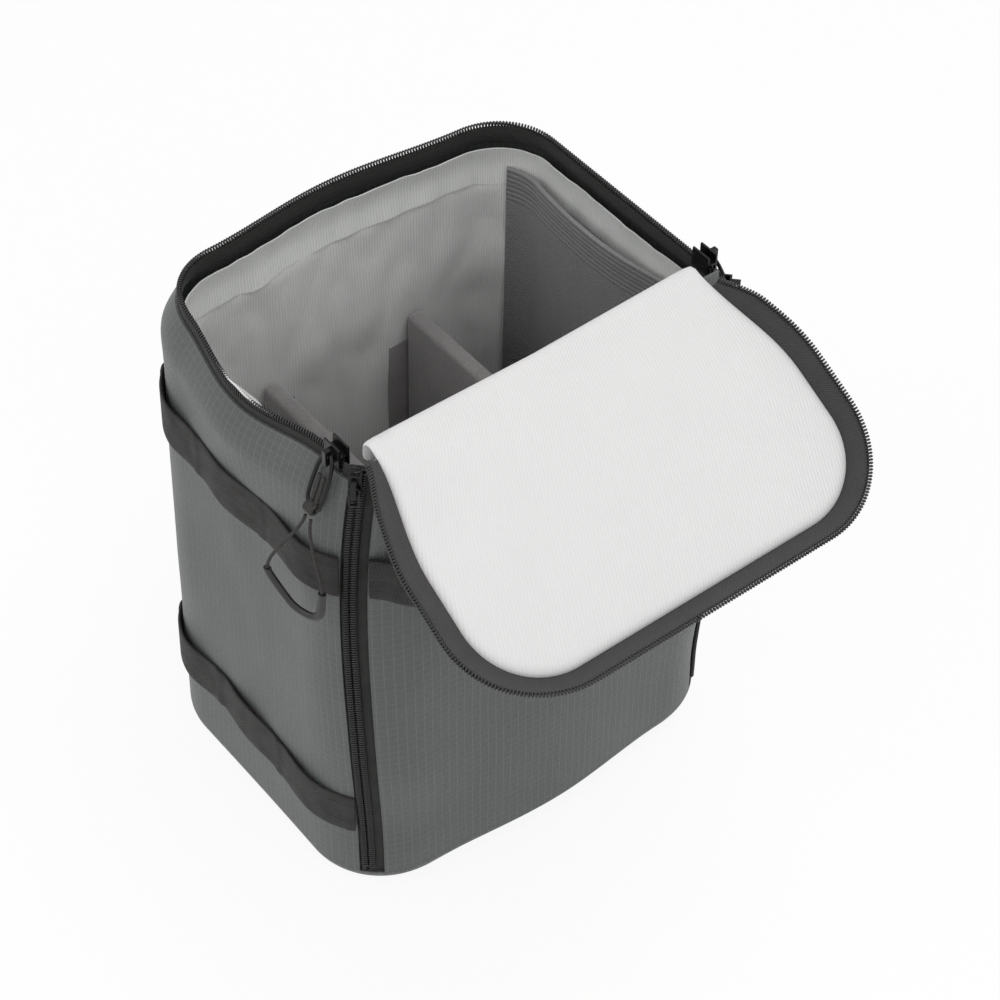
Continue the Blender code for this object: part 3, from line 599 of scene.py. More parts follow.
def brushed_look():
    """Brushed loop cloth of the dividers."""
    look = Look("brushed_loop", BRUSHED_COLOUR, roughness=0.95, sheen=0.6)
    place = look.axes("Object")[0]
    fuzz = look.cloud(place, LOOP_GRAIN, detail=6.0)
    look.paint(look.cloud(place, LOOP_CLOUD), 0.88, 1.1, (fuzz, 0.5, 0.7))
    return look.finish(fuzz, 0.88, 0.98, fuzz, LOOP_RISE, strength=0.8)


def hard_look(name, colour, smoothest, roughest, metallic, grain):
    """A moulded, cast or pressed part with fine grain and worn gloss."""
    look = Look(name, colour, smoothest, metallic)
    place = look.axes("Object")[0]
    cloud = look.cloud(place, HARD_CLOUD)
    look.paint(cloud, 0.8, 1.3)
    return look.finish(cloud, smoothest, roughest, look.cloud(place, grain), HARD_RISE,
                       strength=0.5)


def braid_look():
    """Braided cord: two sets of strands that cross."""
    look = Look("braided_cord", CORD_COLOUR, roughness=0.8)
    place, x, y, z = look.axes("Object")
    braid = look.math("MAXIMUM", look.wave(look.math("ADD", x, z), BRAID_STEP),
                      look.wave(look.math("SUBTRACT", y, z), BRAID_STEP))
    look.paint(braid, 0.6, 1.3)
    return look.finish(look.cloud(place, BRAID_CLOUD), 0.7, 0.9, braid, BRAID_RISE,
                       strength=0.8)


RIPSTOP = ripstop_look()
TAPE_LOOK = tape_look("zip_tape_twill", TAPE_COLOUR)
LID_TAPE_LOOK = tape_look("lid_tape_twill", LID_TAPE_COLOUR)
COIL_LOOK = coil_look()
WEBBING = webbing_look()
FACING_LOOK = ribbed_look("facing_mesh", FACING_COLOUR, contrast=0.45)
LINING_LOOK = ribbed_look("wall_lining_cloth", LINING_COLOUR, contrast=0.40)
TRICOT = tricot_look()
POCKET_LOOK = pocket_look()
BRUSHED = brushed_look()
METAL = hard_look("painted_metal", METAL_COLOUR, 0.22, 0.42, metallic=0.75, grain=0.0008)
PLASTIC = hard_look("moulded_nylon", PLASTIC_COLOUR, 0.36, 0.52, metallic=0.0, grain=0.0005)
BOARD_LOOK = hard_look("pressed_board", BOARD_COLOUR, 0.7, 0.9, metallic=0.0, grain=0.002)
BRAID = braid_look()


# Camera, light and floor

def build_camera():
    """Place the camera where the photograph was taken from."""
    data = bpy.data.cameras.new("view")
    data.lens = CAMERA_LENS
    data.sensor_width = CAMERA_SENSOR
    camera = new_object("view", data)
    turn = Euler((math.pi / 2 - CAMERA_ELEVATION, 0, CAMERA_YAW)).to_matrix().to_4x4()
    roll = Matrix.Rotation(CAMERA_ROLL, 4, "Z")
    camera.matrix_world = Matrix.Translation(CAMERA_PLACE) @ turn @ roll
    bpy.context.scene.camera = camera


def build_lamp(name, place, size, power):
    """Add a square soft lamp that faces the insert."""
    data = bpy.data.lights.new(name, "AREA")
    data.size = size
    data.energy = power
    lamp = new_object(name, data)
    lamp.location = place
    lamp.rotation_euler = (Vector(AIM_PLACE) - Vector(place)).to_track_quat("-Z", "Y").to_euler()


def join_light_path(tree, plain, seen, target):
    """Show one closure to the camera, mirrors and glass, and the other to the light."""
    path = add_node(tree, "ShaderNodeLightPath")
    share = path.outputs["Is Camera Ray"]
    for ray in ("Is Glossy Ray", "Is Transmission Ray"):
        share = add_node(tree, "ShaderNodeMath", {"operation": "MAXIMUM"}, i0=share,
                         i1=path.outputs[ray]).outputs[0]
    mix = add_node(tree, "ShaderNodeMixShader", i0=share, i1=plain, i2=seen)
    tree.links.new(mix.outputs[0], target)


def build_world():
    """Light the scene evenly, and show white where the camera sees past the floor."""
    world = bpy.data.worlds.new("studio")
    bpy.context.scene.world = world
    world.use_nodes = True
    tree = world.node_tree
    plain = tree.nodes["Background"]
    plain.inputs["Color"].default_value = linear(WHITE)
    plain.inputs["Strength"].default_value = WORLD_LIGHT
    white = add_node(tree, "ShaderNodeBackground", Color=linear(WHITE), Strength=1)
    join_light_path(tree, plain.outputs[0], white.outputs[0],
                    tree.nodes["World Output"].inputs["Surface"])


def build_floor():
    """Add the white floor, on which only the object's shadow shows."""
    form = bmesh.new()
    bmesh.ops.create_grid(form, x_segments=8, y_segments=8, size=FLOOR_HALF)
    look = Look("studio_floor", FLOOR_COLOUR, roughness=0.9)
    look.paint(look.cloud(look.axes("Object")[0], FLOOR_CLOUD), 0.99, 1.01)
    plain = look.shader.outputs[0]
    glow = look.add("ShaderNodeEmission", Strength=FLOOR_GLOW).outputs[0]
    seen = look.add("ShaderNodeMixShader", i0=FLOOR_GLOW_SHARE, i1=plain, i2=glow).outputs[0]
    join_light_path(look.tree, plain, seen, look.tree.nodes["Material Output"].inputs["Surface"])
    form_object("floor", form, look.material)


# Outline of the body

def shoulder_inset(height):
    """Return how far the outline is drawn in at a height."""
    rise = np.clip((height - SHOULDER_START) / (RIM_SEAM - SHOULDER_START), 0, 1)
    return RIM_INSET * (1 - np.cos(rise * math.pi / 2))


def outline_sizes(height):
    """Return half width, half depth, front radius and back radius at a height."""
    inset = shoulder_inset(height)
    front = BODY_CORNER - inset / (1 - math.sqrt(0.5))
    return BODY_WIDTH / 2 - inset, BODY_DEPTH / 2 - inset, front, BODY_CORNER - inset


def outline_marks(height):
    """Return the distances at which the outline's straights and arcs end."""
    half_width, half_depth, front, back = outline_sizes(height)
    run = half_width - front
    corner_end = run + front * math.pi / 2
    side_end = corner_end + 2 * half_depth - front - back
    back_start = side_end + back * math.pi / 2
    return run, corner_end, side_end, back_start, back_start + half_width - back


def zip_distance(height):
    """Return the distance of the corner zip's middle line."""
    run, corner_end = outline_marks(height)[:2]
    return (run + corner_end) / 2


def outline(distance, height):
    """Return plan points and normals of one half, from the front's middle round to the back's."""
    half_width, half_depth, front, back = outline_sizes(height)
    run, corner_end, side_end, back_start, _ = outline_marks(height)
    first = np.clip((distance - run) / front, 0, math.pi / 2)
    last = np.clip((distance - side_end) / back, 0, math.pi / 2)
    on_side = np.clip(distance - corner_end, 0, side_end - corner_end)
    beyond = np.maximum(distance - back_start, 0)
    x = np.minimum(distance, run) + front * np.sin(first) - back * (1 - np.cos(last)) - beyond
    y = -half_depth + front * (1 - np.cos(first)) + on_side + back * np.sin(last)
    normal_x = np.where(distance < side_end, np.sin(first), np.cos(last))
    normal_y = np.where(distance < side_end, -np.cos(first), np.sin(last))
    return x, y, normal_x, normal_y


CORNER_END, SIDE_END, BACK_START, HALF_ROUND = outline_marks(0.0)[1:]
ZIP_MIDDLE = zip_distance(0.0)


def bell(offset, half):
    """Return a smooth bump, 1 at no offset and 0 past half."""
    return np.cos(np.clip(np.abs(offset) / half, 0, 1) * math.pi / 2) ** 2


def soften(points):
    """Move points as the filled, soft bag does.

    The front bows out low down, its corners push out above the foot, and the corner zips
    sway back at mid height. The left rim bows in and sags, and the rear rim bows out.
    """
    x, y, z = points[..., 0], points[..., 1], points[..., 2]
    fade = smooth((CORNER_PUSH_TOP - z) / CORNER_PUSH_TOP) * smooth(z / BASE_HEIGHT)
    near = np.exp(-((np.abs(x) - BODY_WIDTH / 2) / CORNER_PUSH_REACH) ** 2
                  - ((y + BODY_DEPTH / 2) / CORNER_PUSH_REACH) ** 2)
    push = CORNER_PUSH * fade * near
    push *= CORNER_PUSH_FOOT_SHARE + (1 - CORNER_PUSH_FOOT_SHARE) * smooth(
        (z - CORNER_PUSH_FOOT) / CORNER_PUSH_RUN)
    front = FRONT_BOW * fade * bell(x, FRONT_BOW_HALF) * smooth((-y - DEPTH_START) / DEPTH_RUN)
    along = (np.abs(x) + y - (BODY_WIDTH - BODY_DEPTH) / 2) / math.sqrt(2)
    sway = ZIP_SWAY * np.exp(-(along / ZIP_SWAY_REACH) ** 2) * smooth(-y / ZIP_SWAY_REACH)
    sway *= np.sin(np.clip(z / RIM_HEIGHT, 0, 1) ** ZIP_SWAY_SHIFT * math.pi) * math.sqrt(0.5)
    high = smooth((z - BOW_START) / (RIM_HEIGHT - BOW_START))
    side = bell(y, SIDE_BOW_HALF) * high * smooth((-x - WIDTH_START) / WIDTH_RUN)
    rear = bell(x, REAR_BOW_HALF) * high * smooth((y - DEPTH_START) / DEPTH_RUN)
    moved = points.copy()
    moved[..., 0] += np.sign(x) * (push + sway) - SIDE_BOW * side
    moved[..., 1] += sway - push - front + REAR_BOW * rear
    moved[..., 2] -= SIDE_SAG * side
    return moved


def wander(points, size, seed):
    """Return smooth noise from -1 to 1 at each point."""
    flat = points.reshape(-1, 3) / size
    shift = Vector((seed, seed * 2, seed * 3))
    values = [noise.noise(Vector(place) + shift) for place in flat]
    return np.array(values).reshape(points.shape[:-1])


def surface(distance, height, side, inset):
    """Return soft surface points and outward normals at distances and heights of one side."""
    x, y, normal_x, normal_y = outline(distance, height)
    normals = np.stack([side * normal_x, normal_y, np.zeros_like(normal_x)], axis=-1)
    points = np.stack([side * x, y, height + np.zeros_like(x)], axis=-1)
    return soften(points - normals * np.expand_dims(inset, -1)), normals


# Mesh building

def make_piece(name, vertices, faces, uvs, material, sharp):
    """Turn lists of vertices, faces and uvs of the vertices into an object."""
    mesh = bpy.data.meshes.new(name)
    mesh.from_pydata([tuple(v) for v in vertices], [], [tuple(f) for f in faces])
    if uvs is not None:
        layer = mesh.uv_layers.new(name="UVMap")
        index = np.zeros(len(mesh.loops), np.int32)
        mesh.loops.foreach_get("vertex_index", index)
        layer.data.foreach_set("uv", np.asarray(uvs, np.float32)[index].ravel())
    mesh.materials.append(material)
    mesh.validate()
    mesh.shade_smooth()
    mesh.set_sharp_from_angle(angle=math.radians(sharp))
    return new_object(name, mesh)


def form_object(name, form, material):
    """Turn a bmesh into an object."""
    mesh = bpy.data.meshes.new(name)
    form.to_mesh(mesh)
    form.free()
    mesh.materials.append(material)
    return new_object(name, mesh)


def grid_faces(rows, columns, closed=False):
    """Return the quads of a grid of vertices, its columns joined round if closed."""
    faces = []
    for row in range(rows - 1):
        for column in range(columns if closed else columns - 1):
            after = (column + 1) % columns
            low = row * columns
            high = low + columns
            faces.append((low + column, low + after, high + after, high + column))
    return faces


def end_caps(rows, columns):
    """Return the two end faces of a grid whose columns are joined round."""
    last = (rows - 1) * columns
    return [tuple(range(columns))[::-1], tuple(last + column for column in range(columns))]


def slab(name, outer, inner, uv, material):
    """Make a closed sheet from two matching grids of points."""
    rows, columns = outer.shape[:2]
    count = rows * columns
    vertices = np.concatenate([outer.reshape(-1, 3), inner.reshape(-1, 3)])
    uvs = np.concatenate([uv.reshape(-1, 2), uv.reshape(-1, 2)])
    faces = grid_faces(rows, columns)
    faces += [tuple(index + count for index in face[::-1]) for face in grid_faces(rows, columns)]
    ring = [column for column in range(columns)]
    ring += [row * columns + columns - 1 for row in range(1, rows)]
    ring += [(rows - 1) * columns + column for column in range(columns - 2, -1, -1)]
    ring += [row * columns for row in range(rows - 2, 0, -1)]
    for place, vertex in enumerate(ring):
        after = ring[(place + 1) % len(ring)]
        faces.append((after, vertex, vertex + count, after + count))
    return make_piece(name, vertices, faces, uvs, material, SHEET_SHARP)


def thin_sheet(name, inner, normals, uv, material):
    """Make a thin sheet that lies outside its inner face."""
    return slab(name, inner + normals * THIN_SHEET, inner, uv, material)


def unit(ways):
    """Return directions at length one."""
    return ways / np.linalg.norm(ways, axis=1, keepdims=True)


def square_to(ways, along):
    """Return directions turned square to others, at length one."""
    return unit(ways - along * (ways * along).sum(axis=1, keepdims=True))


def run_lengths(line):
    """Return the distance along a line at each of its points."""
    return np.concatenate([[0], np.cumsum(np.linalg.norm(np.diff(line, axis=0), axis=1))])


def tube(name, line, across, rise, sides, material, sharp, closed=False):
    """Skin a line of points with rings, from the two half axes of each ring."""
    turns = [2 * math.pi * step / sides for step in range(sides)]
    grid = np.stack([line + across * math.cos(turn) + rise * math.sin(turn) for turn in turns],
                    axis=1)
    faces = grid_faces(len(line), sides, closed=True)
    if closed:
        last = (len(line) - 1) * sides
        faces += [(last + step, last + (step + 1) % sides, (step + 1) % sides, step)
                  for step in range(sides)]
    else:
        faces += end_caps(len(line), sides)
    return make_piece(name, grid.reshape(-1, 3), faces, None, material, sharp)


def sweep(name, line, width_way, half_width, half_rise, material, closed=False,
          sides=TUBE_SIDES):
    """Make a tube with an oval section along a line of points."""
    line = np.array(line, float)
    if closed:
        way = unit(np.roll(line, -1, axis=0) - np.roll(line, 1, axis=0))
    else:
        way = unit(np.gradient(line, axis=0))
    across = square_to(np.broadcast_to(np.array(width_way, float), line.shape), way)
    rise = np.cross(way, across)
    return tube(name, line, across * half_width, rise * half_rise, sides, material, ROUND_SHARP,
                closed)


def smooth_line(points, closed=False):
    """Round the corners of a line by cutting them, keeping its ends."""
    line = [np.array(point, float) for point in points]
    for _ in range(CUT_ROUNDS):
        cut = []
        for first, second in zip(line, line[1:] + line[:1] if closed else line[1:]):
            cut += [first * (1 - CUT_SHARE) + second * CUT_SHARE,
                    first * CUT_SHARE + second * (1 - CUT_SHARE)]
        line = cut if closed else [line[0]] + cut + [line[-1]]
    return line


def steps_between(low, high, step):
    """Return evenly spaced values about a step apart, both ends included."""
    return np.linspace(low, high, max(int(round(abs(high - low) / step)), 1) + 1)


def both_sides(half):
    """Return a left half's values and then its mirror's, with the side of each."""
    return (np.concatenate([half, half[::-1][1:]]),
            np.concatenate([-np.ones(len(half)), np.ones(len(half) - 1)]))


# Lid pulls

def pull_axes(side):
    """Return a hanging pull's width axis and lean direction."""
    down = Vector((side * math.sin(PULL_LEAN), 0, -math.cos(PULL_LEAN)))
    return Vector((0, -1, 0)), down


def grip_axes(side):
    """Return the grip's width axis and outward normal."""
    forward = Vector((-side * math.sin(GRIP_YAW), -math.cos(GRIP_YAW), 0))
    outward = Vector((side * math.cos(GRIP_YAW), -math.sin(GRIP_YAW), 0))
    return forward, outward


def cord_route(side, sign):
    """Return the points of one leg of cord, from the knot to the grip's arm."""
    pivot = Vector((side * PULL_PIVOT[0], PULL_PIVOT[1], PULL_PIVOT[2]))
    forward, down = pull_axes(side)
    start = pivot + down * (KNOT_FOOT + GAP) + forward * sign * CORD_SPREAD
    top = pivot + Vector((side * GRIP_STAND_OFF, GRIP_SHIFT, -GRIP_DROP))
    end = top + grip_axes(side)[0] * sign * GRIP_ARM + Vector((0, 0, GAP))
    lead = (end - start).length * CORD_LEAD_SHARE
    first = start + down * lead
    last = end + Vector((0, 0, lead))
    points = []
    for step in range(CORD_STEPS + 1):
        share = step / CORD_STEPS
        rest = 1 - share
        points.append(start * rest ** 3 + first * 3 * rest ** 2 * share
                      + last * 3 * rest * share ** 2 + end * share ** 3)
    return points


def build_cord(side, word, sign, place):
    route = cord_route(side, sign)
    data = bpy.data.curves.new(f"cord_{word}_{place}", "CURVE")
    data.dimensions = "3D"
    data.bevel_depth = CORD_DIAMETER / 2
    data.bevel_resolution = 3
    data.use_fill_caps = True
    spline = data.splines.new("POLY")
    spline.points.add(len(route) - 1)
    for point, spot in zip(spline.points, route):
        point.co = (*spot, 1)
    data.materials.append(BRAID)
    cord = new_object(f"cord_{word}_{place}", data)
    attach(cord, f"{word}_lid_pull", "cord", f"pull_cord_{word}_{place}")


def build_pull(side, word):
    """Make the pull's metal loop and the cord tied to it."""
    body = f"{word}_lid_pull"
    pivot = np.array([side * PULL_PIVOT[0], PULL_PIVOT[1], PULL_PIVOT[2]])
    forward, down = [np.array(way) for way in pull_axes(side)]
    sheet = np.cross(forward, down)
    right = [(PULL_TOP_HALF, -PULL_HEAD), (PULL_FOOT_HALF, PULL_LENGTH - PULL_FOOT_CUT),
             (PULL_FOOT_HALF / 2, PULL_LENGTH)]
    left = [(-across, drop) for across, drop in right]
    corners = [left[0], *right, *left[:0:-1]]
    loop = smooth_line([pivot + forward * across + down * drop for across, drop in corners], True)
    ring = sweep(f"pull_loop_{word}", loop, sheet, PULL_SHEET, PULL_WALL, METAL, True)
    attach(ring, body, "slider_metal", f"lid_pull_{word}")
    turns = np.linspace(0, 1, KNOT_TURNS * KNOT_TURN_POINTS)
    angle = turns * KNOT_TURNS * 2 * math.pi
    reach = (turns * 2 - 1) * KNOT_HALF
    centre = pivot + down * PULL_LENGTH
    wound = [centre + forward * run + (down * math.sin(turn) + sheet * math.cos(turn)) * KNOT_LOOP
             for run, turn in zip(reach, angle)]
    knot = sweep(f"pull_knot_{word}", wound, forward, KNOT_STRAND, KNOT_STRAND, BRAID)
    attach(knot, body, "cord", f"cord_knot_{word}")
    for sign, place in ((1, "front"), (-1, "back")):
        leg = [centre + forward * sign * KNOT_HALF / 2 - down * rise + sheet * bulge
               for rise, bulge in ((KNOT_LOOP / 2, 0),
                                   (PULL_LENGTH * LEG_MIDDLE_SHARE, KNOT_STRAND / 2),
                                   (PULL_LENGTH * LEG_TOP_SHARE, 0))]
        attach(sweep(f"pull_braid_{word}_{place}", smooth_line(leg), forward,
                     KNOT_STRAND * LEG_WIDE_SHARE, KNOT_STRAND * LEG_THIN_SHARE, BRAID),
               body, "cord")


def build_grip(side, word):
    """Make the moulded grip at the end of a pull's cord."""
    pivot = np.array([side * PULL_PIVOT[0], PULL_PIVOT[1], PULL_PIVOT[2]])
    ahead, outward = [np.array(way) for way in grip_axes(side)]
    top = pivot + np.array([side * GRIP_STAND_OFF, GRIP_SHIFT, -GRIP_DROP])
    line = [top + ahead * across - np.array([0, 0, drop]) for across, drop in GRIP_PATH]
    grip = sweep(f"grip_loop_{word}", smooth_line(line), outward, GRIP_HALF_THICKNESS,
                 GRIP_HALF_WALL, PLASTIC, sides=GRIP_SIDES)
    attach(grip, f"{word}_lid_pull", "moulded_plastic", f"pull_grip_{word}")


# Walls and front panel

def edge_fade(height, top, top_fade=TOP_FADE):
    """Return 0 at the wall's foot and at a top edge, and 1 well between them."""
    return smooth((height - WALL_FOOT) / FOOT_FADE) * smooth((top - height) / top_fade)


def wall_wave(points):
    """Return how far the outer cloth stands out at each point."""
    broad = wander(points, WALL_WAVE_SIZE, 3)
    crease = wander(points * np.array([1, 1, CREASE_LEVEL_SHARE]), CREASE_SIZE, 5)
    return (broad + crease * CREASE_SHARE) * WALL_WAVE * edge_fade(points[..., 2], RIM_SEAM)


def wall_grid(bottom, top, trim, inset, row_step=ROW_STEP):
    """Return points, normals and uv of the three fixed walls from corner zip to corner zip."""
    start = ZIP_MIDDLE + trim
    share, side = both_sides(steps_between(0, 1, COLUMN_STEP / (HALF_ROUND - start)))
    height = steps_between(bottom, top, row_step)[:, None] + np.zeros(len(share))
    first = zip_distance(height) + trim
    distance = first + share * (outline_marks(height)[4] - first)
    points, normals = surface(distance, height, side, inset)
    run = start + share * (HALF_ROUND - start)
    u = np.where(side < 0, run, 2 * HALF_ROUND - run)
    return points, normals, np.stack([u + np.zeros_like(height), height], axis=-1)


def panel_grid(bottom, top, trim, inset):
    """Return points, normals and uv of the front panel between its zips."""
    half = ZIP_MIDDLE - trim
    share = steps_between(-1, 1, COLUMN_STEP / half)
    height = steps_between(bottom, top, ROW_STEP)[:, None] + np.zeros(len(share))
    distance = np.abs(share) * (zip_distance(height) - trim)
    points, normals = surface(distance, height, np.where(share < 0, -1.0, 1.0), inset)
    return points, normals, np.stack([share * half + np.zeros_like(height), height], axis=-1)


def build_shell(name, grid, body, *solids):
    """Make the padded, wavy outer cloth on a grid."""
    points, normals, uv = grid
    outer = points + normals * np.expand_dims(wall_wave(points), -1)
    shell = slab(name, outer, outer - normals * FABRIC, uv, RIPSTOP)
    attach(shell, body, "shell_fabric", *solids)


def left_rim(points):
    """Return how much a point belongs to the left rim, which leans out and shows its facing."""
    near = smooth((-points[..., 0] - LEFT_START) / LEFT_RUN)
    return near * np.sqrt(bell(points[..., 1], SIDE_BOW_HALF))


def build_facing():
    """Make the light facing band under the rim, puckered into soft folds."""
    points, normals, uv = wall_grid(FACING_FOOT, FACING_TOP, TAPE_WIDTH, LINING_FACE, FACING_STEP)
    share = 1 - (uv[..., 1] - FACING_FOOT) / (FACING_TOP - FACING_FOOT)
    wave = wander(points * np.array([1, 1, 0]), FACING_FOLD_SIZE, 11)
    pucker = wander(points * np.array([1, 1, PUCKER_LEVEL_SHARE]), PUCKER_SIZE, 13)
    left = left_rim(points)
    inward = (FACING_IN + FACING_SPREAD * share + np.abs(wave) * FACING_FOLD * share
              + pucker * PUCKER + FACING_LEAN * left * share - FACING_DRAW * left * (1 - share))
    inner = points - normals * np.expand_dims(inward, -1)
    inner[..., 2] += wave * FACING_WAVE * share
    inner[..., 2] += FACING_LIFT * left * (1 - share * FACING_LIFT_LOSS_SHARE)
    band = thin_sheet("facing_band", inner, normals, uv, FACING_LOOK)
    attach(band, "shell", "facing", "rim_facing")


def build_wall_lining():
    """Make the wrinkled lining of the three fixed walls."""
    top = FACING_FOOT + LINING_LAP
    points, normals, uv = wall_grid(WALL_FOOT, top, TAPE_WIDTH, LINING_FACE)
    height = uv[..., 1]
    fold = wander(points * np.array([1, 1, LINING_LEVEL_SHARE]), LINING_FOLD_SIZE, 21)
    broad = wander(points, LINING_BROAD_SIZE, 25)
    inward = np.abs(fold) * LINING_FOLD + np.maximum(broad, 0) * LINING_FOLD * LINING_BROAD_SHARE
    inward *= edge_fade(height, top, LINING_TOP_FADE)
    left = left_rim(points) * smooth((height - BOW_START) / (top - BOW_START))
    inward += FACING_LEAN * left + LINING_GAP
    inner = points - normals * np.expand_dims(inward, -1)
    inner[..., 2] += FACING_LIFT * LINING_LIFT_SHARE * left
    lining = thin_sheet("wall_lining_sheet", inner, normals, uv, LINING_LOOK)
    attach(lining, "shell", "wall_lining", "wall_lining")


def build_panel_lining():
    """Make the front panel's lining."""
    points, normals, uv = panel_grid(WALL_FOOT, PANEL_LINING_TOP, TAPE_WIDTH, LINING_FACE)
    fold = np.abs(wander(points * np.array([1, 1, PANEL_LEVEL_SHARE]), PANEL_FOLD_SIZE, 41))
    fold *= LINING_FOLD * PANEL_FOLD_SHARE * edge_fade(uv[..., 1], PANEL_LINING_TOP)
    inner = points - normals * np.expand_dims(fold, -1)
    lining = thin_sheet("panel_lining_sheet", inner, normals, uv, LINING_LOOK)
    attach(lining, "front_panel", "wall_lining", "panel_lining")


# Zip coils and tapes

def coil_mesh(name, centres, along, across, width, thickness, phase=0):
    """Wind a wire coil round a line of centres."""
    length = run_lengths(centres)
    turns = max(int(length[-1] / COIL_PITCH), 2)
    count = turns * COIL_TURN_POINTS + 1
    at = np.linspace(0, length[-1], count)
    middle, out, ahead = [np.stack([np.interp(at, length, values[:, axis]) for axis in range(3)],
                                   axis=-1) for values in (centres, across, along)]
    out = unit(out)
    off = np.cross(unit(ahead), out)
    angle = (np.arange(count) * 2 * math.pi / COIL_TURN_POINTS + phase)[:, None]
    half, rise = width / 2 - COIL_WIRE, thickness / 2 - COIL_WIRE
    line = middle + out * half * np.cos(angle) + off * rise * np.sin(angle)
    way = unit(np.gradient(line, axis=0))
    radial = square_to(out * np.cos(angle) + off * np.sin(angle), way)
    return tube(name, line, radial * COIL_WIRE, np.cross(way, radial) * COIL_WIRE,
                COIL_WIRE_SIDES, COIL_LOOK, COIL_SHARP)


def upward(count):
    """Return this many directions straight up."""
    return np.tile([0.0, 0.0, 1.0], (count, 1))


def rim_line(height, inset):
    """Return the open rim's path: points and normals from the left start round to the right."""
    _, half_depth, front, _ = outline_sizes(height)
    marks = outline_marks(height)
    start = marks[1] + ZIP_START_Y - (front - half_depth)
    distance, side = both_sides(np.linspace(start, marks[4], RIM_STEPS))
    return surface(distance, height, side, inset)


def build_rim_zip():
    """Make the standing tape round the rim and its coil."""
    levels = steps_between(TAPE_FOOT, COIL_FOOT - GAP, TAPE_STEP)
    outer, inner = [np.stack([rim_line(level, inset)[0] for level in levels])
                    for inset in (TAPE_OUT, TAPE_OUT + TAPE)]
    u = run_lengths(outer[0]) + np.zeros(outer.shape[:2])
    uv = np.stack([u, levels[:, None] + np.zeros_like(u)], axis=-1)
    attach(slab("rim_tape_band", outer, inner, uv, TAPE_LOOK), "shell", "zip_tape", "rim_tape")
    centres, _ = rim_line(COIL_FOOT + COIL_WIDTH / 2, TAPE_OUT + TAPE / 2)
    coil = coil_mesh("rim_coil_wire", centres, np.gradient(centres, axis=0),
                     upward(len(centres)), COIL_WIDTH, COIL_THICKNESS)
    attach(coil, "shell", "zip_coil", "rim_coil")


def build_corner_zip(side, word, prefix, sign, body):
    """Make the tape and coil of one half of a corner zip."""
    height = steps_between(WALL_FOOT, CORNER_ZIP_TOP, ROW_STEP)[:, None] + np.zeros(TAPE_COLUMNS)
    offset = np.linspace(HALF_SLOT, TAPE_EDGE, TAPE_COLUMNS)
    distance = zip_distance(height) + sign * offset
    outer, inner = [surface(distance, height, side, inset)[0]
                    for inset in (CORNER_TAPE_DEPTH, CORNER_TAPE_DEPTH + CORNER_TAPE)]
    uv = np.stack([height, offset + np.zeros_like(height)], axis=-1)
    tape = slab(f"{prefix}_tape_twill_{word}", outer, inner, uv, TAPE_LOOK)
    attach(tape, body, "zip_tape", f"{prefix}_tape_{word}")
    level = steps_between(WALL_FOOT + CORNER_COIL_RISE, CORNER_ZIP_TOP, ROW_STEP)
    here = zip_distance(level) + sign * (HALF_SLOT + COIL_WIDTH / 2 - COIL_REACH / 2)
    centres, out = surface(here, level, side, CORNER_COIL_IN)
    up = upward(len(level))
    coil = coil_mesh(f"{prefix}_coil_wire_{word}", centres, up, np.cross(up, out),
                     COIL_WIDTH + COIL_REACH, CORNER_COIL_THICKNESS, 0 if sign > 0 else math.pi)
    attach(coil, body, "zip_coil", f"{prefix}_coil_{word}")


# Webbing

def ribbon(name, distance, height, side, bow, tacks, body, node):
    """Make a strap along the wall, with rounded edges and raised bar tacks.

    The tacks are shares of the strap's length, and those at its ends are moved in.
    """
    points, normals = surface(distance, height, side, -GAP)
    points += normals * np.expand_dims(bow + wall_wave(points), -1)
    length = run_lengths(points)
    rise = np.zeros(len(points))
    for share in tacks:
        tack = np.clip(length[-1] * share, TACK_LENGTH, length[-1] - TACK_LENGTH)
        rise += np.exp(-((length - tack) / TACK_LENGTH) ** 4) * TACK_RISE
    offsets = np.array(STRAP_OFFSET_SHARES) * STRAP_WIDTH / 2
    outer, inner = [], []
    for offset, share in zip(offsets, STRAP_DROP_SHARES):
        base = points + np.array([0, 0, offset])
        outer.append(base + normals * (STRAP - share * STRAP + rise)[:, None])
        inner.append(base + normals * min(share, STRAP_SINK_SHARE) * STRAP)
    outer, inner = np.stack(outer), np.stack(inner)
    level = np.zeros(outer.shape[:2])
    uv = np.stack([length + level, offsets[:, None] + level], axis=-1)
    attach(slab(name, outer, inner, uv, WEBBING), body, "webbing", node)


def build_side_strap(side, word, tier, height):
    """Make one side strap, tacked down at intervals and bowed between."""
    start = ZIP_MIDDLE + WALL_CLOTH_EDGE + GAP
    distance = steps_between(start, (SIDE_END + BACK_START) / 2, COLUMN_STEP / 2)
    share = (distance - start) / (distance[-1] - start)
    bow = STRAP_BOW * np.sin(share * STRAP_SPANS * math.pi) ** 2
    tacks = [step / STRAP_SPANS for step in range(STRAP_SPANS + 1)]
    ribbon(f"strap_{tier}_{word}", distance, height, side, bow, tacks, "shell",
           f"side_strap_{tier}_{word}")


def build_handle():
    """Make the grab handle of webbing across the front."""
    end = ZIP_MIDDLE - PANEL_CLOTH_EDGE - GAP
    reach = steps_between(-end, end, COLUMN_STEP / 2)
    from_end = end - np.abs(reach)
    bow = HANDLE_BOW * (1 - np.cos(np.minimum(from_end / HANDLE_RUN, 1) * math.pi)) / 2
    ribbon("front_handle", np.abs(reach), UPPER_STRAP, np.where(reach < 0, -1.0, 1.0), bow,
           (0, 1), "front_panel", "grab_handle")


# Lid

def run_steps(steps, share):
    """Return how many of the steps round the lid fall on a run."""
    return int(round(steps * share))


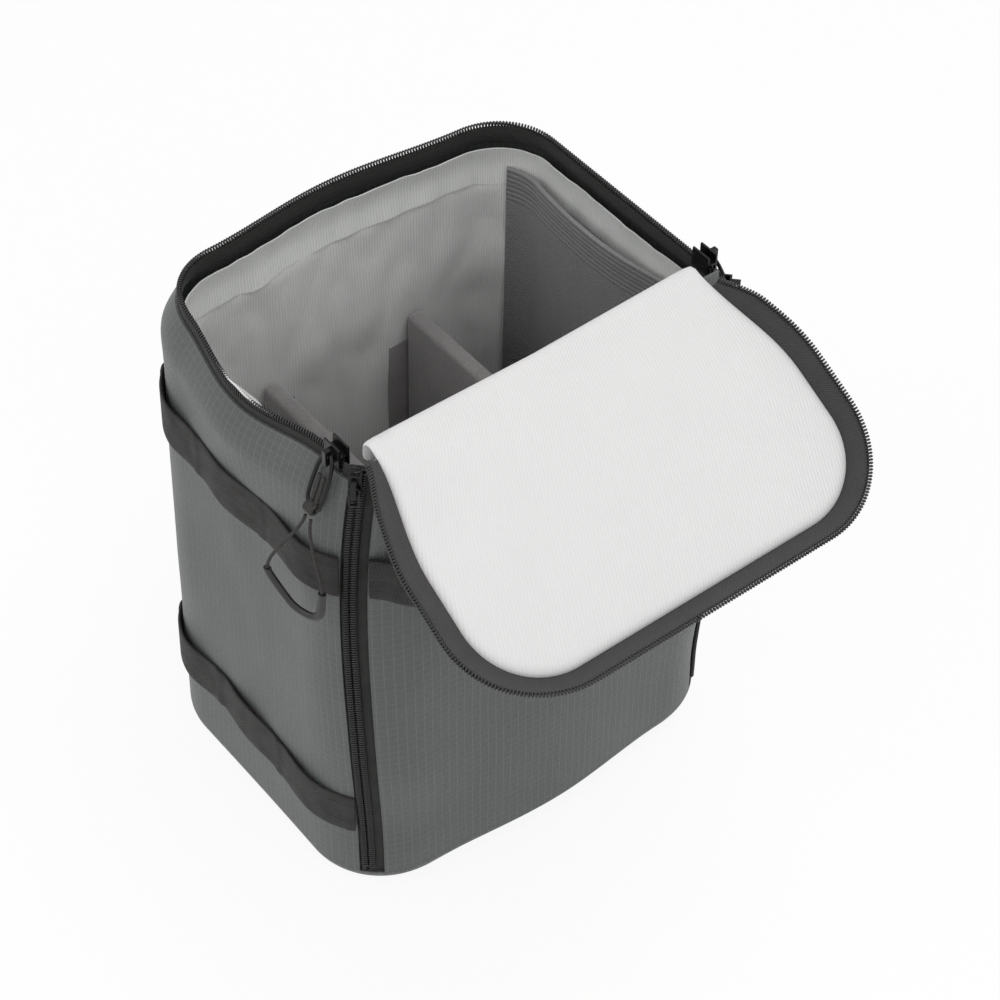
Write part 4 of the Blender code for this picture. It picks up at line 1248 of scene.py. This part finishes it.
def lid_outline(inset, steps, behind):
    """Return the lid's plan as a closed ring of (across, reach) points, drawn in by inset."""
    near = inset - behind
    big = max(LID_CORNER - inset, LEAST_CORNER)
    small = max(LID_NEAR_CORNER - inset, LEAST_NEAR_CORNER)
    half = max(LID_FAR_HALF_WIDTH - inset, big + LEAST_RUN)
    far = max(LID_LENGTH - inset, near + big + small + LEAST_RUN)
    runs = [((-half, near + small), (-half, far - big)),
            ((big - half, far - big), big, 180, 90),
            ((big - half, far), (half - big, far)),
            ((half - big, far - big), big, 90, 0),
            ((half, far - big), (half, near + small)),
            ((half - small, near + small), small, 0, -90),
            ((half - small, near), (small - half, near)),
            ((small - half, near + small), small, -90, -180)]
    ring = []
    for run, share in zip(runs, LID_RUN_SHARES):
        along = np.arange(run_steps(steps, share)) / run_steps(steps, share)
        if len(run) == 2:
            start, end = np.array(run[0]), np.array(run[1])
            ring.append(start + along[:, None] * (end - start))
        else:
            turn = np.radians(run[2] + along * (run[3] - run[2]))
            ring.append(np.array(run[0]) + run[1] * np.stack([np.cos(turn), np.sin(turn)], axis=-1))
    return np.concatenate(ring)


def lid_surface(plan, lift, slant=0):
    """Return points of the open lid: plan is (across, reach), lift is towards its lining side.

    Ahead of the fold the lid droops in a long curve. Behind it the cloth rolls down into
    the box. A slant moves the right end of the fold back.
    """
    across, reach = plan[:, 0], plan[:, 1]
    ahead = np.maximum(reach, 0)
    span = np.clip(ahead / LID_LENGTH, 0, LID_SPAN_LIMIT)
    droop = LID_DROOP_START + (LID_DROOP_END - LID_DROOP_START) * span
    mean = (LID_DROOP_START + droop) / 2
    behind = np.maximum(-reach, 0)
    turn = np.minimum(behind / LID_ROLL, LID_DROOP_START + math.pi / 2)
    left = LID_DROOP_START - turn
    wide = across * (LID_HALF_WIDTH + (LID_FAR_HALF_WIDTH - LID_HALF_WIDTH)
                     * smooth(span * 2)) / LID_FAR_HALF_WIDTH
    y = LID_START_Y - ahead * np.cos(mean) + LID_ROLL * (math.sin(LID_DROOP_START) - np.sin(left))
    z = LID_START_Z - ahead * np.sin(mean) - LID_ROLL * (math.cos(LID_DROOP_START) - np.cos(left))
    z -= behind - turn * LID_ROLL
    near_fold = 1 - smooth(ahead / LID_TILT_RUN)
    lift = lift * (LID_FOLD_SHARE + (1 - LID_FOLD_SHARE) * smooth(reach / LID_FOLD_RUN))
    y += slant * np.maximum(across, 0) * near_fold - lift * np.sin(droop - turn)
    z += lift * np.cos(droop - turn) + LID_TILT * across * (1 - near_fold)
    return np.stack([wide + LID_SHIFT + ahead * LID_SKEW, y, z], axis=-1)


def lid_layer(name, lifts, behind, material, slant=0):
    """Make a closed pad from rings: lifts gives (inset, lift) from the middle of one face."""
    plans = [lid_outline(inset, LID_STEPS, behind) for inset, _ in lifts]
    rings = [lid_surface(plan, lift, slant) for plan, (_, lift) in zip(plans, lifts)]
    columns = len(rings[0])
    faces = grid_faces(len(rings), columns, closed=True)
    for first in (0, (len(rings) - 1) * columns):
        faces += strip_faces(first, columns, first > 0)
    return make_piece(name, np.concatenate(rings), faces, np.concatenate(plans), material,
                      ROUND_SHARP)


def strip_faces(first, columns, flip):
    """Close a thin ring with strips between its far side and its near side."""
    faces = []
    for step in range(columns // 2 - 1):
        face = (first + step, first + step + 1, first + columns - 2 - step,
                first + columns - 1 - step)
        faces.append(face if flip else face[::-1])
    return faces


def crown(inset, rise):
    """Return the rise of a padded face at a distance from its edge."""
    share = min(inset / LID_PAD_CROWN, 1)
    return rise * math.sqrt(max(1 - (1 - share) ** 2, 0))


def build_lid_pads():
    """Make the lid's padded lining, which rolls over the fold, and its outer cloth."""
    insets = [LID_PAD_REACH * (step / LID_RINGS) ** LID_RING_POWER
              for step in range(LID_RINGS + 1)]
    back = [(inset, -LID_PAD_BACK) for inset in insets[::-2]]
    face = [(inset, crown(inset, LID_PAD)) for inset in insets]
    lining = lid_layer("lid_padding", back + face, LID_BEHIND, TRICOT, LID_SLANT)
    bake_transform(lining)
    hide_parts("lid_lining", "lid_foam")
    back = [(inset, -LID_COVER_BACK) for inset in insets[::-2]]
    face = [(inset, -LID_COVER_START - crown(inset, LID_COVER)) for inset in insets]
    attach(lid_layer("lid_cover", back + face, 0, RIPSTOP), "lid", "shell_fabric", "lid_fabric")


def build_skirt():
    """Make the lid's splayed tape and the coil along its edge."""
    ring = lid_outline(0, SKIRT_STEPS, 0)
    tangent = unit(np.roll(ring, -1, axis=0) - np.roll(ring, 1, axis=0))
    last = sum(run_steps(SKIRT_STEPS, share) for share in LID_RUN_SHARES[:LID_EDGE_RUNS])
    plan = ring[:last]
    outward = np.stack([-tangent[:last, 1], tangent[:last, 0]], axis=-1)
    turn = smooth((outward[:, 0] + 1) / 2)
    sideways = SKIRT_LEFT_RISE + (SKIRT_RIGHT_RISE - SKIRT_LEFT_RISE) * turn
    rise = sideways + (SKIRT_FRONT_RISE - sideways) * np.maximum(outward[:, 1], 0) ** 2
    spread = np.sqrt(SKIRT_WIDTH ** 2 - rise ** 2)
    start = smooth(plan[:, 1] / SKIRT_START_RUN)
    wide = SKIRT_START_SHARE + (1 - SKIRT_START_SHARE) * start
    high = SKIRT_START_RISE_SHARE + (1 - SKIRT_START_RISE_SHARE) * start
    outer, inner = [], []
    for share in np.linspace(-SKIRT_LAP_SHARE, 1, SKIRT_ROWS):
        out = plan + outward * (spread * share * wide)[:, None]
        lift = rise * max(share, 0) ** SKIRT_CURL * high - SKIRT_DROP
        outer.append(lid_surface(out, lift - SKIRT / 2))
        inner.append(lid_surface(out, lift + SKIRT / 2))
    outer, inner = np.stack(outer), np.stack(inner)
    u = run_lengths(outer[-1]) + np.zeros(outer.shape[:2])
    v = np.linspace(0, SKIRT_WIDTH, SKIRT_ROWS)[:, None] + np.zeros_like(u)
    tape = slab("lid_skirt", outer, inner, np.stack([u, v], axis=-1), LID_TAPE_LOOK)
    attach(tape, "lid", "zip_tape", "lid_tape")
    middle = (outer + inner) / 2
    across = unit(middle[-1] - middle[-2])
    centres = middle[-1] + across * (COIL_WIDTH / 2 - GAP)
    coil = coil_mesh("lid_coil_wire", centres, np.gradient(centres, axis=0), across, COIL_WIDTH,
                     COIL_THICKNESS)
    attach(coil, "lid", "zip_coil", "lid_coil")


# Inside

def build_pocket():
    """Make the stretch pocket on the right wall, slack behind its hem."""
    start = (ZIP_MIDDLE + TAPE_EDGE + CORNER_END) / 2
    distance = steps_between(start, (SIDE_END + BACK_START) / 2, COLUMN_STEP)
    share = (distance - start) / (distance[-1] - start)
    for name, node, foot, top, thick in (
            ("pocket_knit", "stretch_pocket", POCKET_BOTTOM, POCKET_TOP - HEM_HEIGHT, POCKET_SHEET),
            ("pocket_edge", "pocket_hem", POCKET_TOP - HEM_HEIGHT, POCKET_TOP, HEM)):
        height = steps_between(foot, top, ROW_STEP)[:, None] + np.zeros(len(distance))
        rise = (height - POCKET_BOTTOM) / (POCKET_TOP - POCKET_BOTTOM)
        inset = LINING_IN + GAP + POCKET_CLEAR + POCKET_SLACK * rise * np.sin(share * math.pi)
        along = distance + np.zeros(height.shape)
        outer = surface(along, height, 1, inset - (thick - POCKET_SHEET) / 2)[0]
        inner = surface(along, height, 1, inset + (thick + POCKET_SHEET) / 2)[0]
        piece = slab(name, outer, inner, np.stack([along, height], axis=-1), POCKET_LOOK)
        attach(piece, "shell", "stretch_knit", node)


def soft_block(name, low, high, radius, bulge=0):
    """Make a brushed board between two corners, with rounded edges and a slight bulge."""
    form = bmesh.new()
    bmesh.ops.create_cube(form, size=1)
    size = Vector(high) - Vector(low)
    middle = (Vector(high) + Vector(low)) / 2
    bmesh.ops.scale(form, vec=size, verts=form.verts)
    bmesh.ops.translate(form, vec=middle, verts=form.verts)
    bmesh.ops.bevel(form, geom=form.edges, offset=radius, segments=BLOCK_EDGE_STEPS,
                    profile=BLOCK_EDGE_SHAPE, affect="EDGES")
    long_edges = [edge for edge in form.edges if edge.calc_length() > BLOCK_LONG_EDGE]
    bmesh.ops.subdivide_edges(form, edges=long_edges, cuts=BLOCK_CUTS, use_grid_fill=True)
    for vertex in form.verts:
        offset = vertex.co - middle
        flat = [1 - min(abs(2 * offset[axis] / size[axis]), 1) ** 2 for axis in (1, 2)]
        vertex.co.x += math.copysign(bulge * flat[0] * flat[1], offset.x)
    block = form_object(name, form, BRUSHED)
    block.data.shade_smooth()
    return block


def build_divider(side, word):
    """Make a padded divider and the hook tabs at its ends."""
    middle = side * DIVIDER_PLACE
    pad = soft_block(f"divider_pad_{word}", (middle - DIVIDER / 2, -DIVIDER_END, WALL_FOOT),
                     (middle + DIVIDER / 2, DIVIDER_END, DIVIDER_TOP), DIVIDER_EDGE,
                     DIVIDER_BULGE)
    attach(pad, "shell", "brushed_loop", f"divider_{word}")
    for facing, place in ((-1, "front"), (1, "back")):
        near, far = sorted((facing * TAB_FACE, facing * (TAB_FACE + TAB)))
        tab = soft_block(f"hook_tab_{word}_{place}", (middle - TAB_WIDTH / 2, near, TAB_FOOT),
                         (middle + TAB_WIDTH / 2, far, TAB_TOP), TAB_EDGE)
        attach(tab, "shell", "webbing", f"divider_tab_{word}_{place}")


def ring_piece(name, sections, material):
    """Loft closed rings of (inset, height) round the body and cap both ends."""
    distance, side = both_sides(steps_between(0, HALF_ROUND, COLUMN_STEP))
    rings = [surface(distance[:-1], height, side[:-1], inset)[0] for inset, height in sections]
    columns = len(rings[0])
    vertices = np.concatenate(rings)
    faces = grid_faces(len(rings), columns, closed=True) + end_caps(len(rings), columns)
    return make_piece(name, vertices, faces, vertices[:, :2], material, ROUND_SHARP)


def build_base():
    """Make the cloth tray under the walls and the padded floor."""
    turns = [math.radians(degrees) for degrees in BASE_TURNS]
    sections = [(BASE_ROUND * (1 - math.sin(turn)), BASE_ROUND * (1 - math.cos(turn)))
                for turn in turns]
    sections += [(0, BASE_HEIGHT + BASE_LIP), (FABRIC, BASE_HEIGHT + BASE_LIP),
                 (BASE_ROUND, TRAY_FLOOR)]
    attach(ring_piece("base_tray", sections, RIPSTOP), "shell", "shell_fabric", "base_fabric")
    pad = ring_piece("floor_pad", FLOOR_PAD_SECTIONS, LINING_LOOK)
    attach(pad, "shell", "wall_lining", "base_lining")


def dress_frame():
    """Give the rigid solids that stay their materials."""
    for name, item in nodes.items():
        if "slider" in name or name.startswith(("corner_pull", "corner_stop")):
            item.data.materials[0] = METAL
        elif name == "base_board":
            item.data.materials[0] = BOARD_LOOK


def main():
    """Build the whole scene."""
    bpy.context.scene.view_settings.view_transform = "Standard"
    build_camera()
    build_world()
    build_lamp("key", KEY_PLACE, KEY_SIZE, KEY_POWER)
    build_lamp("top", TOP_PLACE, TOP_SIZE, TOP_POWER)
    build_lamp("front", FRONT_PLACE, FRONT_SIZE, FRONT_POWER)
    build_floor()
    for side, word in ((-1, "left"), (1, "right")):
        build_cord(side, word, 1, "front")
        build_cord(side, word, -1, "back")
        build_pull(side, word)
        build_grip(side, word)
        build_corner_zip(side, word, "corner", 1, "shell")
        build_corner_zip(side, word, "panel", -1, "front_panel")
        build_side_strap(side, word, "upper", UPPER_STRAP)
        build_side_strap(side, word, "lower", LOWER_STRAP)
        build_divider(side, word)
    build_shell("wall_shell", wall_grid(WALL_FOOT, RIM_SEAM, WALL_CLOTH_EDGE, 0), "shell",
                "wall_fabric", "wall_foam")
    build_facing()
    build_wall_lining()
    build_rim_zip()
    build_shell("panel_shell", panel_grid(WALL_FOOT, PANEL_TOP, PANEL_CLOTH_EDGE, 0),
                "front_panel", "panel_fabric", "panel_foam")
    build_panel_lining()
    build_handle()
    build_lid_pads()
    build_skirt()
    build_pocket()
    build_base()
    dress_frame()


main()
